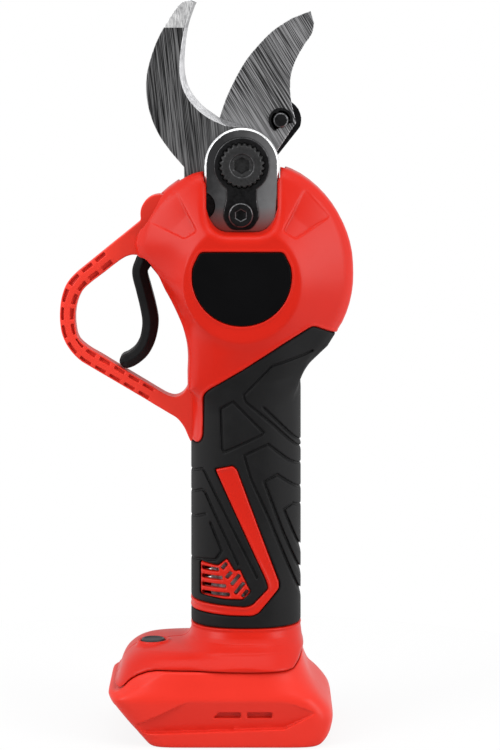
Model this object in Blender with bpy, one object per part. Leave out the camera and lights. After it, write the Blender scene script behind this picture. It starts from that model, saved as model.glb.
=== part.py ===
"""Battery electric pruner, body only: a motor in the handle swings one blade past a fixed hooked blade.

Frame: +Z up the handle, -Y towards the side that carries the badge, the foot stands on Z = 0.
Outlines are control points in millimetres, read from the pivot, the trigger pin or the grip's lower edge.
"""

import math

import bmesh
import bpy
from mathutils import Matrix, Vector

MM = 0.001

# Clearances
GAP = 0.0003  # between neighbours that don't move on each other
RUN = 0.0002  # between faces that slide on each other
TURN = 0.0003  # round a turning shaft or pin

# Shells
WALL = 0.0034  # shell thickness
SKIN = 0.0016  # thickness of the rubber grip and depth of the shell's recesses
HEAD_R = 0.045  # round rim of the head
HEAD_DROP = 0.0493  # middle of the head's flat face, below the pivot
HEAD_DEPTH = 0.026  # half depth of the head at its flat face
HEAD_FLAT_R = 0.0247  # radius of that flat face
HEAD_RIM = 0.012  # half height of the straight rim wall
BADGE_R = 0.0206
HANDLE_OFF = 0.0017  # middle of the handle, right of the motor's axis
MOTOR_ROOM = 0.0016  # between motor and shell, front and back
MOTOR_SIDE = 0.0028  # between motor and shell, left and right
GRIP_BOTTOM = 0.0484
POST_R = 0.004
SCREW_R = 0.0016
SCREW_HEAD_R = 0.0034
SCREW_SINK = 0.0022  # screw heads below the shell

# Battery foot
FOOT_D = 0.038  # half depth of the battery seat
FOOT_FLOOR = 0.0196  # upper face of the floor over the battery
FLOOR_T = 0.0026
SEAT_WALL = 0.007  # side wall of the battery bay
RAIL_LIP = 0.0035  # how far the battery rails stand into the bay
RAIL_T = 0.0055
TERMINAL_X = 0.0385
TERMINAL_H = 0.0085
SLOT_DEEP = 0.0032

# Pivot stack, front to back
PIVOT_X = 0.0152
PIVOT_Z = 0.2453
SHEAR_Y = -0.0031  # plane in which the blades pass each other
FIXED_T = 0.0046
MOVING_T = 0.0035
BRIDGE_T = 0.0052
PLATE_T = 0.0028
ARM_T = 0.0045
FRAME_T = 0.0047
BOLT_R = 0.005
BUSH_T = 0.0018
HUB_R = 0.0158
NOTCH_W = 0.0144  # half width of the head's mouth
NOTCH_DROP = 0.0288  # bottom of the mouth, below the pivot
SPLINE_R = 0.0093
SPLINE_DEEP = 0.0008
SPLINE_TEETH = 24
PLATE_R = 0.0118
LOBE_R = 0.0073
LOCK_X = -0.0004  # lock screw, from the pivot
LOCK_Z = -0.0207
EAR_X = -0.0174  # bridge screw, from the pivot
EAR_Z = -0.0171
EAR_R = 0.0072
PIN_X = 0.0165  # drive pin, from the pivot
PIN_Z = 0.0187
PIN_R = 0.0031

# Drive line
BEVEL_R = 0.026  # outer pitch radius of the sector
BEVEL_FACE = 0.0075
SECTOR_TEETH = 40  # on a whole circle
PINION_TEETH = 10
SHAFT_R = 0.004
SHAFT_FLAT = 0.0028
BEARING_R = 0.0095
BEARING_H = 0.006
BLOCK_R = 0.0128
RING_R = 0.017
SUN_TEETH = 9
PLANET_TEETH = 12
RING_TEETH = 33
PLANET_MODULE = 0.00076
PLANET_H = 0.009
PEG_R = 0.0014
CARRIER_H = 0.005
CARRIER_R = 0.0126
MOTOR_R = 0.0175
MOTOR_H = 0.068
MOTOR_SHAFT_R = 0.002
CAN_T = 0.0013
ROTOR_R = 0.0095
TRAY_SIDE = 0.0071  # between the controller's tray and the shell, left and right
TRAY_ROOM = 0.0063  # and front and back
TRAY_T = 0.0018

# Trigger and button
TRIGGER_BACK = 0.0372  # trigger pin, left of the pivot
TRIGGER_DROP = 0.0363  # and below it
TRIGGER_W = 0.0068  # half width
TRIGGER_T = 0.0032  # half thickness of the lever at its middle
TRIGGER_PIN_R = 0.0015
TRIGGER_BOSS = 0.0037
TRIGGER_ARM = 0.002  # half thickness of the arm under the spring
SPRING_OFF = 0.0054  # spring, right of the trigger pin
SPRING_SEAT = 0.0115  # face above the spring, over the trigger pin
SPRING_R = 0.0022
SPRING_WIRE = 0.0004
SPRING_TURNS = 5
GUARD_W = 0.0055  # half width
GUARD_BAR = 0.0067
EYE_X = -0.0371  # guard screw, from the pivot
EYE_Z = -0.0188
EYE_R = 0.0058
BUTTON_X = -0.0232
BUTTON_Y = -0.0068
BUTTON_R = 0.005
BUTTON_TOP = 0.041
BUTTON_TRAVEL = 0.0012

# Facets
HEAD_SIDES = 32
BARREL_SIDES = 20
FOOT_SIDES = 20

# Levels that follow from the sizes above
HANDLE_X = PIVOT_X + HANDLE_OFF
HANDLE_W = MOTOR_R + MOTOR_SIDE + WALL
HANDLE_D = MOTOR_R + MOTOR_ROOM + WALL
TRAY_W = HANDLE_W - WALL - TRAY_SIDE
TRAY_D = HANDLE_D - WALL - TRAY_ROOM
HEAD_Z = PIVOT_Z - HEAD_DROP
CEILING = FOOT_FLOOR - FLOOR_T
BAY_WIDE = FOOT_D - SEAT_WALL
RAIL_IN = BAY_WIDE - RAIL_LIP
FIXED_BACK = SHEAR_Y - RUN / 2
FIXED_FRONT = FIXED_BACK - FIXED_T
BRIDGE_BACK = FIXED_FRONT - RUN
BRIDGE_FRONT = BRIDGE_BACK - BRIDGE_T
PLATE_BACK = BRIDGE_FRONT - RUN
PLATE_FRONT = PLATE_BACK - PLATE_T
MOVING_FRONT = SHEAR_Y + RUN / 2
MOVING_BACK = MOVING_FRONT + MOVING_T
ARM_FRONT = MOVING_BACK + RUN
ARM_BACK = ARM_FRONT + ARM_T
BEVEL_SLOPE = PINION_TEETH / SECTOR_TEETH
BEVEL_MODULE = 2 * BEVEL_R / SECTOR_TEETH
SECTOR_BACK = BEVEL_R * BEVEL_SLOPE + 0.0055
FRAME_FRONT = SECTOR_BACK + GAP
FRAME_BACK = FRAME_FRONT + FRAME_T
PINION_Z = PIVOT_Z - BEVEL_R
BLOCK_TOP = PINION_Z - 0.005
BLOCK_BOTTOM = BLOCK_TOP - BEARING_H - 0.007
RING_TOP = BLOCK_BOTTOM - GAP
CARRIER_TOP = RING_TOP - 0.002
CARRIER_LOW = CARRIER_TOP - CARRIER_H
PLANET_TOP = CARRIER_LOW - GAP
PLANET_BOTTOM = PLANET_TOP - PLANET_H
RING_BOTTOM = PLANET_BOTTOM - 0.002
MOTOR_TOP = RING_BOTTOM - GAP
MOTOR_BOTTOM = MOTOR_TOP - MOTOR_H
PLANET_ORBIT = PLANET_MODULE * (SUN_TEETH + PLANET_TEETH) / 2
TRIGGER_X = PIVOT_X - TRIGGER_BACK
TRIGGER_Z = PIVOT_Z - TRIGGER_DROP
SPRING_X = TRIGGER_X + SPRING_OFF
BUSH_R = BOLT_R + TURN + BUSH_T
SWITCH_TOP = BUTTON_TOP - 0.0065


def clear_scene():
    for obj in list(bpy.data.objects):
        bpy.data.objects.remove(obj, do_unlink=True)


def material(name, colour, roughness, metallic=0.0):
    made = bpy.data.materials.new(name)
    made.use_nodes = True
    shader = made.node_tree.nodes["Principled BSDF"]
    shader.inputs["Base Color"].default_value = (*colour, 1.0)
    shader.inputs["Roughness"].default_value = roughness
    shader.inputs["Metallic"].default_value = metallic
    made.diffuse_color = (*colour, 1.0)
    return made


def solid(name, bm):
    """Link a closed bmesh as an object whose faces point outwards."""
    bmesh.ops.recalc_face_normals(bm, faces=bm.faces)
    mesh = bpy.data.meshes.new(name)
    bm.to_mesh(mesh)
    bm.free()
    obj = bpy.data.objects.new(name, mesh)
    bpy.context.collection.objects.link(obj)
    return obj


def loft(name, rings, closed=False):
    """Skin rings of equally many points. Open stacks are capped; closed ones join last to first."""
    bm = bmesh.new()
    rows = [[bm.verts.new(point) for point in ring] for ring in rings]
    pairs = list(zip(rows, rows[1:]))
    if closed:
        pairs.append((rows[-1], rows[0]))
    count = len(rows[0])
    for lower, upper in pairs:
        for i in range(count):
            j = (i + 1) % count
            bm.faces.new((lower[i], lower[j], upper[j], upper[i]))
    if not closed:
        bm.faces.new(rows[0])
        bm.faces.new(rows[-1])
    return solid(name, bm)


def slab(name, layers):
    """Stack of (x, z) outlines at rising y: the shape of everything cut from plate."""
    return loft(name, [[Vector((x, y, z)) for x, z in outline] for y, outline in layers])


def prism(name, outline, y0, y1):
    return slab(name, [(y0, outline), (y1, outline)])


def tower(name, layers):
    """Stack of (x, y) outlines at rising z."""
    return loft(name, [[Vector((x, y, z)) for x, y in outline] for z, outline in layers])


def box(name, x0, x1, y0, y1, z0, z1):
    return prism(name, [(x0, z0), (x1, z0), (x1, z1), (x0, z1)], y0, y1)


def circle(cx, cy, radius, count, start=0.0):
    step = 2 * math.pi / count
    return [
        (cx + radius * math.cos(start + i * step), cy + radius * math.sin(start + i * step))
        for i in range(count)
    ]


def arc(cx, cy, radius, first, last, count):
    """Points from angle first to angle last, in degrees."""
    found = []
    for i in range(count + 1):
        angle = math.radians(first + (last - first) * i / count)
        found.append((cx + radius * math.cos(angle), cy + radius * math.sin(angle)))
    return found


def turned(name, x, z, steps, count=18):
    """Solid of revolution about a line along Y through (x, z), from (radius, y) steps."""
    return slab(name, [(y, circle(x, z, radius, count)) for radius, y in steps])


def spindle(name, x, y, steps, count=16):
    """Solid of revolution about a line along Z through (x, y), from (radius, z) steps."""
    return tower(name, [(z, circle(x, y, radius, count)) for radius, z in steps])


def tube(name, x, y, loop, count=32):
    """Ring of revolution about a vertical line, from a closed loop of (radius, z)."""
    rings = []
    for radius, z in loop:
        rings.append([Vector((px, py, z)) for px, py in circle(x, y, radius, count)])
    return loft(name, rings, closed=True)


def smooth(points, spans=3):
    """Catmull-Rom curve through open control points."""
    padded = [points[0], *points, points[-1]]
    found = []
    for a, b, c, d in zip(padded, padded[1:], padded[2:], padded[3:]):
        for i in range(spans):
            t = i / spans
            found.append(
                tuple(
                    0.5
                    * (
                        2 * q
                        + (r - p) * t
                        + (2 * p - 5 * q + 4 * r - s) * t * t
                        + (3 * q - p - 3 * r + s) * t**3
                    )
                    for p, q, r, s in zip(a, b, c, d)
                )
            )
    found.append(points[-1])
    return found


def mm(points, x=0.0, z=0.0):
    """Control points read in millimetres, moved to (x, z)."""
    return [(x + px * MM, z + pz * MM) for px, pz in points]


def from_pivot(points):
    return mm(points, PIVOT_X, PIVOT_Z)


def from_trigger(points):
    return mm(points, TRIGGER_X, TRIGGER_Z)


def from_grip(points):
    return mm(points, HANDLE_X, GRIP_BOTTOM)


def grow(outline, by):
    """Offset a closed outline outwards by a small distance along its corner normals."""
    area = sum(a[0] * b[1] - b[0] * a[1] for a, b in zip(outline, outline[1:] + outline[:1]))
    side = 1 if area > 0 else -1
    found = []
    for a, b, c in zip(outline[-1:] + outline[:-1], outline, outline[1:] + outline[:1]):
        first = Vector((b[1] - a[1], a[0] - b[0])).normalized()
        second = Vector((c[1] - b[1], b[0] - c[0])).normalized()
        normal = (first + second).normalized()
        reach = by / max(0.5, normal.dot(first))
        found.append((b[0] + side * normal.x * reach, b[1] + side * normal.y * reach))
    return found


def ribbon(line, widths):
    """Closed outline of a bar that follows a centre line with a half width at each point."""
    left, right = [], []
    for i, point in enumerate(line):
        ahead = Vector(line[min(i + 1, len(line) - 1)]) - Vector(line[max(i - 1, 0)])
        normal = Vector((-ahead.y, ahead.x)).normalized() * widths[i]
        left.append((point[0] + normal.x, point[1] + normal.y))
        right.append((point[0] - normal.x, point[1] - normal.y))
    return left + right[::-1]


def boolean(target, others, operation):
    """Bake one exact Boolean after another into the target and remove the helpers."""
    for other in others:
        other.hide_render = True
        other.display_type = "WIRE"
        step = target.modifiers.new(operation.title(), "BOOLEAN")
        step.operation = operation
        step.solver = "EXACT"
        step.object = other
        graph = bpy.context.evaluated_depsgraph_get()
        baked = bpy.data.meshes.new_from_object(target.evaluated_get(graph))
        target.modifiers.clear()
        old = target.data
        target.data = baked
        bpy.data.meshes.remove(old)
        bpy.data.objects.remove(other, do_unlink=True)
    return target


def join(target, *others):
    return boolean(target, others, "UNION")


def cut(target, *others):
    return boolean(target, others, "DIFFERENCE")


def keep(target, *others):
    return boolean(target, others, "INTERSECT")


def twin(obj, name):
    made = obj.copy()
    made.data = obj.data.copy()
    made.name = name
    bpy.context.collection.objects.link(made)
    return made


def finish(obj, name, look, x=0.0, y=0.0, z=0.0, angle=40):
    """Name a piece, give it its material and put its origin on its own axis."""
    obj.name = name
    obj.data.name = name
    obj.data.materials.clear()
    obj.data.materials.append(look)
    obj.data.transform(Matrix.Translation((-x, -y, -z)))
    obj.location = (x, y, z)
    bm = bmesh.new()
    bm.from_mesh(obj.data)
    bmesh.ops.remove_doubles(bm, verts=bm.verts, dist=1e-6)
    for face in bm.faces:
        face.smooth = True
    for edge in bm.edges:
        edge.smooth = len(edge.link_faces) == 2 and edge.calc_face_angle(0) < math.radians(angle)
    bm.to_mesh(obj.data)
    bm.free()
    return obj


def head_outline():
    """Edge of the head at the parting plane, anticlockwise from the right."""
    rim = arc(PIVOT_X + 0.0025, PIVOT_Z - 0.047, HEAD_R, -26, 73, 14)
    crown = [(4.8, -1.1), (-9.2, -1.3), (-20.7, -2.9), (-34.7, -12.6), (-42.6, -24.3), (-45.5, -33.5)]
    left = smooth(from_pivot(crown))
    flank = [(-44.6, -38.5), (-40.6, -42.5), (-32.9, -52.3), (-27.2, -63), (-23.5, -73.3), (-22.2, -85.3)]
    lower = smooth(from_pivot(flank))
    neck = smooth(from_pivot([(-18.2, -90.3), (1.8, -94.3), (21.8, -90.8), (27.3, -85.8), (36.5, -77)]))
    return rim + left + lower + neck


def head_solid(name, inset, count=HEAD_SIDES):
    """Pebble: straight rim wall, then a cone that rises to a flat round face, the same on both sides."""
    cx, cz = PIVOT_X, HEAD_Z
    rim = head_outline()
    polar = sorted((math.atan2(z - cz, x - cx), math.hypot(x - cx, z - cz)) for x, z in rim)
    polar = [(polar[-1][0] - 2 * math.pi, polar[-1][1]), *polar, (polar[0][0] + 2 * math.pi, polar[0][1])]

    def reach(angle):
        for (a, low), (b, high) in zip(polar, polar[1:]):
            if a <= angle <= b:
                return low + (high - low) * (angle - a) / max(b - a, 1e-9)
        return polar[0][1]

    flat = HEAD_FLAT_R - 0.4 * inset
    half = [
        (HEAD_DEPTH - inset, flat - 0.0008, None),
        (HEAD_DEPTH - inset - 0.0008, flat + 0.0004, None),
        (HEAD_RIM + 0.0022 - 0.6 * inset, None, 0.002),
        (HEAD_RIM - 0.6 * inset, None, 0.0004),
        (HEAD_RIM - 0.002 - 0.6 * inset, None, 0.0),
    ]
    if inset >= WALL:
        half = half[::2]
    layers = [(-y, r, d) for y, r, d in half] + half[::-1]
    rings = []
    for y, radius, back in layers:
        outline = []
        for i in range(count):
            angle = -math.pi + 2 * math.pi * (i + 0.5) / count
            r = radius if radius is not None else reach(angle) - back - 1.12 * inset
            outline.append((cx + r * math.cos(angle), cz + r * math.sin(angle)))
        rings.append((y, outline))
    return slab(name, rings)


def oval(cx, half_x, half_y, power, count):
    """Superellipse in the XY plane."""
    found = []
    for i in range(count):
        angle = 2 * math.pi * (i + 0.5) / count
        c, s = math.cos(angle), math.sin(angle)
        reach = (abs(c) ** power + abs(s) ** power) ** (-1 / power)
        found.append((cx + half_x * reach * c, half_y * reach * s))
    return found


def handle_solid(name, inset, bottom, count=BARREL_SIDES):
    """Grip barrel that flares into the foot below and tucks into the head above."""
    rows = [(GRIP_BOTTOM - 0.0124, 0.0014), (GRIP_BOTTOM - 0.0059, 0.0004), (GRIP_BOTTOM - 0.0014, -0.0001)]
    rows = [(bottom, 0.0016)] + [row for row in rows if row[0] > bottom + 0.001] + [(GRIP_BOTTOM, 0.0)]
    for down, more in ((0.0953, -0.0002), (0.0793, -0.0011), (0.0693, -0.003), (0.0613, -0.006)):
        rows.append((PIVOT_Z - down, more))
    layers = []
    for z, more in rows:
        layers.append((z, oval(HANDLE_X, HANDLE_W + more - inset, HANDLE_D + more - inset, 2.4, count)))
    return tower(name, layers)


def foot_solid(name, inset, bottom=None, count=FOOT_SIDES):
    """Battery foot: sloped nose at the left, rounded mound on top, fullest in the middle of its side."""
    rows = [
        (0.0, -22.5, 47.5, -2.0),
        (1.5, -24.0, 50.0, -0.7),
        (5.0, -27.0, 52.3, 0.0),
        (10.0, -31.4, 54.0, 0.0),
        (15.5, -35.8, 54.3, 0.0),
        (20.0, -39.2, 52.3, 0.0),
        (22.6, -41.6, 50.2, -0.4),
        (24.6, -42.3, 48.6, -1.2),
        (26.4, -38.9, 47.2, -2.6),
        (30.2, -37.0, 44.6, -3.8),
        (33.6, -35.2, 42.6, -5.8),
        (35.6, -33.2, 42.0, -8.0),
        (37.8, -30.8, 41.4, -10.0),
        (39.6, -27.6, 40.8, -14.0),
        (40.6, -23.0, 40.2, -19.0),
        (41.0, -14.0, 39.0, -26.0),
    ]
    layers = []
    for z, left, right, less in rows:
        level = z * MM if bottom is None else max(z * MM, bottom)
        half_x = (right - left) * MM / 2 - inset
        half_y = FOOT_D + less * MM - inset
        power = 8.0 if z < 25 else 4.0
        level -= inset if z > 30 else 0.0
        layers.append((level, oval((right + left) * MM / 2, half_x, half_y, power, count)))
    if bottom is not None:
        first = max(i for i, row in enumerate(rows) if row[0] * MM <= bottom)
        layers = layers[first:]
    return tower(name, layers)


def groove_line(lift):
    """Line on which the battery seat meets the shells, as a closed outline under it."""
    line = mm([(-60, 25.6), (-38.6, 25.9), (-36.4, 27), (-30.9, 30.6), (-20.8, 32.1), (35.6, 31.8)])
    line += mm([(38.3, 34.4), (39.7, 37.2), (70, 37.8)])
    return [(x, z + lift) for x, z in line] + mm([(70, -5), (-60, -5)])


def grip_outline():
    top = from_pivot([(50.8, -74.3), (39, -71.1), (29.9, -67.5), (17, -75.2), (-0.3, -86.5), (-13.2, -93.9)])
    side = from_pivot([(-16, -96.3), (-16.3, -114.8), (-17.6, -117.6), (-19.8, -118.5), (-22.2, -117.1)])
    side += from_pivot([(-29.2, -116.7)])
    return top + side + [(HANDLE_X - 0.031, GRIP_BOTTOM), (HANDLE_X + 0.049, GRIP_BOTTOM)]


def stripe_outline():
    """Hooked stripe that the shell shows through the grip."""
    outer = [(-13.3, 68.6), (-5.4, 70.4), (-3.6, 68.6), (14.3, 19.6), (14.3, 16.8), (5.4, 6.3), (2.6, 5.2)]
    hook = [(-6.8, 5.3), (-17.5, 5.9), (-26.9, 6.2), (-26.9, 11), (-15.3, 10.3), (-0.6, 9.3)]
    return from_grip(outer + hook + [(2.6, 10.2), (9.4, 17.2), (8.3, 21)])


def vent_outline():
    points = [(-19.5, 28.2), (-11.9, 27.1), (-8, 30.5), (-4.6, 24.9), (-2.5, 25.8), (2.2, 15.8), (-1.2, 12.4)]
    return from_grip(points + [(-8.9, 12.4), (-19.5, 13.7)])


def vent_slots(side):
    """Slots left of the vent's spine lie level, those right of it rise."""
    ends = sorted((side * (HANDLE_D - 0.0105), side * (HANDLE_D + 0.0175)))
    outlines = []
    for i in range(4):
        z = 25.4 - 3.55 * i
        right = 1.55 * i - 11.6
        outlines.append([(-18.6, z - 0.7), (right, z - 1), (right, z + 0.4), (-18.6, z + 0.7)])
    rising = ((-10.2, 25.6, 2.1), (-8.4, 21.6, 2.3), (-6.3, 18.7, 3.6), (-4.7, 14.9, 4), (-1.6, 13.5, 2.4))
    for x, z, run in rising:
        right = x + run
        top = z + 1.25 * run
        low_side = [(x + 0.45, z - 0.36), (right + 0.45, top - 0.36)]
        outlines.append(low_side + [(right - 0.45, top + 0.36), (x - 0.45, z + 0.36)])
    return [prism("slot", from_grip(outline), ends[0], ends[1]) for outline in outlines]


def badge_outline():
    """Round plate cut off level at its top."""
    bowl = arc(PIVOT_X, PIVOT_Z - 0.0461, BADGE_R, 168, 372, 16)
    return bowl + from_pivot([(17.3, -34.9), (-17.3, -34.9)])


def trapezoids():
    """Shaped recesses on the head's cone, left and right of the mouth."""
    return (
        from_pivot([(-28.1, -10.3), (-18.9, -27.1), (-24.1, -30.3), (-38.6, -23.8)]),
        from_pivot([(26.5, -10.3), (36.9, -21.5), (22.5, -30.3), (17.3, -27.1)]),
    )


def notch_outline(by=0.0):
    """U-shaped mouth of the head over the pivot bolt and its lock plate."""
    half = NOTCH_W + by
    low = PIVOT_Z - NOTCH_DROP - by
    round_r = 0.0065
    right = arc(PIVOT_X + half - round_r, low + round_r, round_r, -90, 0, 5)
    left = arc(PIVOT_X - half + round_r, low + round_r, round_r, 180, 270, 5)
    return left + right + [(PIVOT_X + half, PIVOT_Z + 0.03), (PIVOT_X - half, PIVOT_Z + 0.03)]


def guard_line():
    upper = [(-46.7, -32.1), (-53.2, -37.1), (-60.5, -43.3), (-68.8, -50.3), (-73.6, -58.3), (-74.5, -66.5)]
    lower = [(-72.4, -74.7), (-66.2, -81.5), (-56.2, -87.9), (-44.7, -94.7), (-34, -101.3), (-24.2, -107)]
    return smooth(from_pivot(upper + lower), 2)


def guard_solid(name, more, half):
    """Finger loop: a bar with an eye at its upper end and a tongue at its lower end."""
    line = guard_line()
    widths = [GUARD_BAR / 2 + more] * len(line)
    loop = prism(name, ribbon(line, widths), -half, half)
    eye_r = EYE_R + more
    eye = turned("eye", PIVOT_X + EYE_X, PIVOT_Z + EYE_Z, [(eye_r, -half), (eye_r, half)], 16)
    seat = [(-15, -4.2), (-11.4, -2.5), (-8.2, -2.3), (-6, 5), (2.3, 11.4), (8.2, 11.8), (8.2, 16)]
    seat = from_trigger(seat + [(3, 22), (-5, 13), (-14, 6.4)])
    root = from_pivot([(-30.2, -98.8), (-30.2, -106.7), (-24.2, -112.3), (-22, -116.5), (-20.1, -115.3)])
    root += from_pivot([(-20.1, -96.3), (-22.4, -94.3), (-24.8, -97.1)])
    parts = []
    for outline in (seat, root):
        parts.append(prism("end", grow(outline, more) if more else outline, -half, half))
    return join(loop, eye, *parts)


def screw_posts():
    """Places of the screws that close the shells: (x, z, half depth of the shell there)."""
    posts = []
    for (x, z), less in zip(from_pivot([(30.8, -32.3), (33.3, -62.8), (-24.2, -53.3)]), (6.5, 8.5, 7.5)):
        posts.append((x, z, HEAD_DEPTH - less * MM))
    for x, z in from_grip([(15.3, -4.4), (-15.3, -4.4)]):
        posts.append((x, z, HANDLE_D - 0.0067))
    return posts


def build_shells(red):
    """Both shells from one outer form, hollowed and split on the parting plane."""
    body = join(head_solid("body", 0.0), handle_solid("barrel", 0.0, 0.03), foot_solid("foot", 0.0, 0.0246))
    core = join(head_solid("core", SKIN, 26), handle_solid("barrel", SKIN, 0.04, 18))
    field = prism("field", grow(grip_outline(), GAP), -0.06, 0.06)
    cut(field, prism("stripe", stripe_outline(), -0.07, 0.07), prism("vent", vent_outline(), -0.07, 0.07))
    for outline in trapezoids():
        join(field, prism("recess", outline, -0.06, -0.008))
        join(field, prism("recess", outline, 0.008, 0.06))
    join(field, prism("badge", grow(badge_outline(), GAP), -0.06, -0.01))
    cut(field, core)
    cut(body, field)
    hollow = join(
        head_solid("hollow", WALL, 20),
        handle_solid("barrel", WALL, 0.03, 14),
        foot_solid("foot", WALL, 0.0246, 14),
    )
    cut(hollow, prism("liner", notch_outline(0.0022), -0.06, PLATE_BACK))
    cut(body, hollow)
    cut(body, prism("under", groove_line(GAP), -0.06, 0.06))
    cut(body, prism("notch", notch_outline(), -0.06, BRIDGE_FRONT + 0.001))
    room = 2 * GAP
    cut(body, prism("pocket", bridge_outline(room), BRIDGE_FRONT - GAP, 0.0))
    ear = [(EAR_R + room, BRIDGE_FRONT - GAP), (EAR_R + room, 0.0)]
    cut(body, turned("pocket", PIVOT_X + EAR_X, PIVOT_Z + EAR_Z, ear, 14))
    mouth = from_pivot([(-26.7, -16.8), (18.3, -16.8), (18.3, 24.7), (-26.7, 24.7)])
    cut(body, prism("mouth", mouth, FIXED_FRONT - room, FRAME_FRONT))
    wide = HUB_R + 0.001
    corners = ((-1, -0.0223), (1, -0.0223), (1, 0.03), (-1, 0.03))
    rear = [(PIVOT_X + side * wide, PIVOT_Z + z) for side, z in corners]
    cut(body, prism("rear", rear, FRAME_FRONT - 0.001, 0.06))
    slot = from_trigger([(-14, -1.8), (-5.6, -0.2), (1, -3), (7.5, -11.5), (3.6, -16.2), (-14, -10)])
    side = TRIGGER_W + 0.0005
    cut(body, prism("slot", slot, -side, side))
    boss = TRIGGER_BOSS + 0.0008
    cut(body, turned("room", TRIGGER_X, TRIGGER_Z, [(boss, -side), (boss, side)], 16))
    return split_shells(body, red)


def split_shells(body, red):
    """Cut the hollow form in two and give each half its posts, holes and vents."""
    posts = [(x, z, POST_R, depth, 0.0) for x, z, depth in screw_posts()]
    posts.append((TRIGGER_X, TRIGGER_Z, 0.0034, HEAD_DEPTH - 0.0105, TRIGGER_W + GAP))
    halves = []
    for side, name in ((-1, "front_housing"), (1, "rear_housing")):
        half = twin(body, name)
        for x, z, radius, deep, shallow in posts:
            ends = sorted((side * deep, side * max(shallow, 0.0001)))
            join(half, turned("post", x, z, [(radius, ends[0]), (radius, ends[1])], 8))
        edges = sorted((side * GAP / 2, side * 0.07))
        keep(half, box("half", -0.1, 0.1, edges[0], edges[1], -0.01, 0.4))
        cut(half, *vent_slots(side))
        halves.append(half)
    bpy.data.objects.remove(body, do_unlink=True)
    front, back = halves
    hole = SCREW_R + GAP
    sink = SCREW_HEAD_R + GAP + 0.0001
    for x, z, depth in screw_posts():
        cut(front, turned("hole", x, z, [(hole, -0.012), (hole, 0.001)], 8))
        seat = depth - SCREW_SINK - 0.0028
        cut(back, turned("hole", x, z, [(hole, -0.001), (hole, seat), (sink, seat), (sink, 0.05)], 8))
    pin = TRIGGER_PIN_R + TURN
    for half in halves:
        cut(half, turned("hole", TRIGGER_X, TRIGGER_Z, [(pin, -0.0128), (pin, 0.0128)], 8))
        cut(half, guard_solid("way", 0.0004, GUARD_W + GAP))
        cut(half, turned("hole", PIVOT_X + EYE_X, PIVOT_Z + EYE_Z, [(0.0018, -0.02), (0.0018, 0.02)], 8))
    cut(back, turned("hole", PIVOT_X + EYE_X, PIVOT_Z + EYE_Z, [(0.0036, 0.0085), (0.0036, 0.03)], 8))
    button = BUTTON_R + TURN
    way = [(button, BUTTON_TOP - 0.011), (button, BUTTON_TOP + 0.009)]
    cut(front, spindle("hole", BUTTON_X, BUTTON_Y, way))
    return finish(front, "front_housing", red, angle=35), finish(back, "rear_housing", red, angle=35)


def build_grips(rubber):
    body = join(head_solid("sleeve", 0.0), handle_solid("barrel", 0.0, 0.04))
    keep(body, prism("field", grip_outline(), -0.06, 0.06))
    cut(body, prism("stripe", grow(stripe_outline(), GAP), -0.07, 0.07))
    cut(body, prism("vent", grow(vent_outline(), GAP), -0.07, 0.07))
    less = SKIN - 0.00025
    core = join(head_solid("core", less, 26), handle_solid("barrel", less, 0.04, 18))
    cut(body, core)
    for side, name in ((-1, "grip_front"), (1, "grip_rear")):
        half = twin(body, name)
        edges = sorted((side * GAP / 2, side * 0.07))
        keep(half, box("half", -0.1, 0.1, edges[0], edges[1], -0.01, 0.4))
        finish(half, name, rubber, angle=35)
    bpy.data.objects.remove(body, do_unlink=True)


def build_seat(red):
    """Lower foot: rails and an open end for the battery below a floor, room for wiring above it."""
    seat = keep(foot_solid("seat", 0.0), prism("under", groove_line(0.0), -0.06, 0.06))
    bay = [(-BAY_WIDE, CEILING), (-BAY_WIDE, RAIL_T), (-RAIL_IN, RAIL_T), (-RAIL_IN, -0.002)]
    bay += [(-y, z) for y, z in bay[::-1]]
    cut(seat, loft("bay", [[Vector((x, y, z)) for y, z in bay] for x in (-0.07, TERMINAL_X + 0.0075)]))
    cut(seat, foot_solid("room", 0.0028, FOOT_FLOOR, 14))
    neck = 0.0035 + GAP
    low, high = CEILING - 0.007, FOOT_FLOOR + 0.01
    cut(seat, box("neck", TERMINAL_X - neck, TERMINAL_X + neck, -0.0083, 0.0083, low, high))
    sunk = mm([(-30.5, 9.2), (-25.6, 6), (33.5, 8.2), (46.5, 15), (32.6, 20.3), (-6.7, 20.3)])
    for side in (-1, 1):
        shallow, deep = [], []
        for x, z in sunk:
            deep.append(Vector((x, side * (FOOT_D + 0.0001 - 0.0022 * (0.0203 - z) / 0.012), z)))
            shallow.append(Vector((x, side * (FOOT_D + 0.012), z)))
        cut(seat, loft("facet", [deep, shallow]))
        for x0, x1 in ((0.003, 0.0148), (0.0174, 0.028)):
            ends = sorted((side * (FOOT_D - SLOT_DEEP), side * (FOOT_D + 0.012)))
            cut(seat, box("slot", x0, x1, ends[0], ends[1], 0.0128, 0.015))
    return finish(seat, "battery_seat", red, angle=35)


def build_guard(red):
    guard = guard_solid("trigger_guard", 0.0, GUARD_W)
    line = guard_line()
    for i in range(5, len(line) - 4):
        ahead = (Vector(line[i + 1]) - Vector(line[i - 1])).normalized()
        across = Vector((-ahead.y, ahead.x))
        for side in (-1, 1):
            middle = Vector(line[i]) + across * side * GUARD_BAR * 0.33
            corners = []
            for u, v in ((-0.0019, -0.0008), (0.0019, -0.0008), (0.0019, 0.0008), (-0.0019, 0.0008)):
                corner = middle + ahead * u + across * v
                corners.append((corner.x, corner.y))
            cut(guard, prism("pocket", corners, -0.02, -GUARD_W + 0.0018))
    cut(guard, turned("hole", PIVOT_X + EYE_X, PIVOT_Z + EYE_Z, [(0.0018, -0.02), (0.0018, 0.02)], 8))
    return finish(guard, "trigger_guard", red, angle=35)


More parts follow.
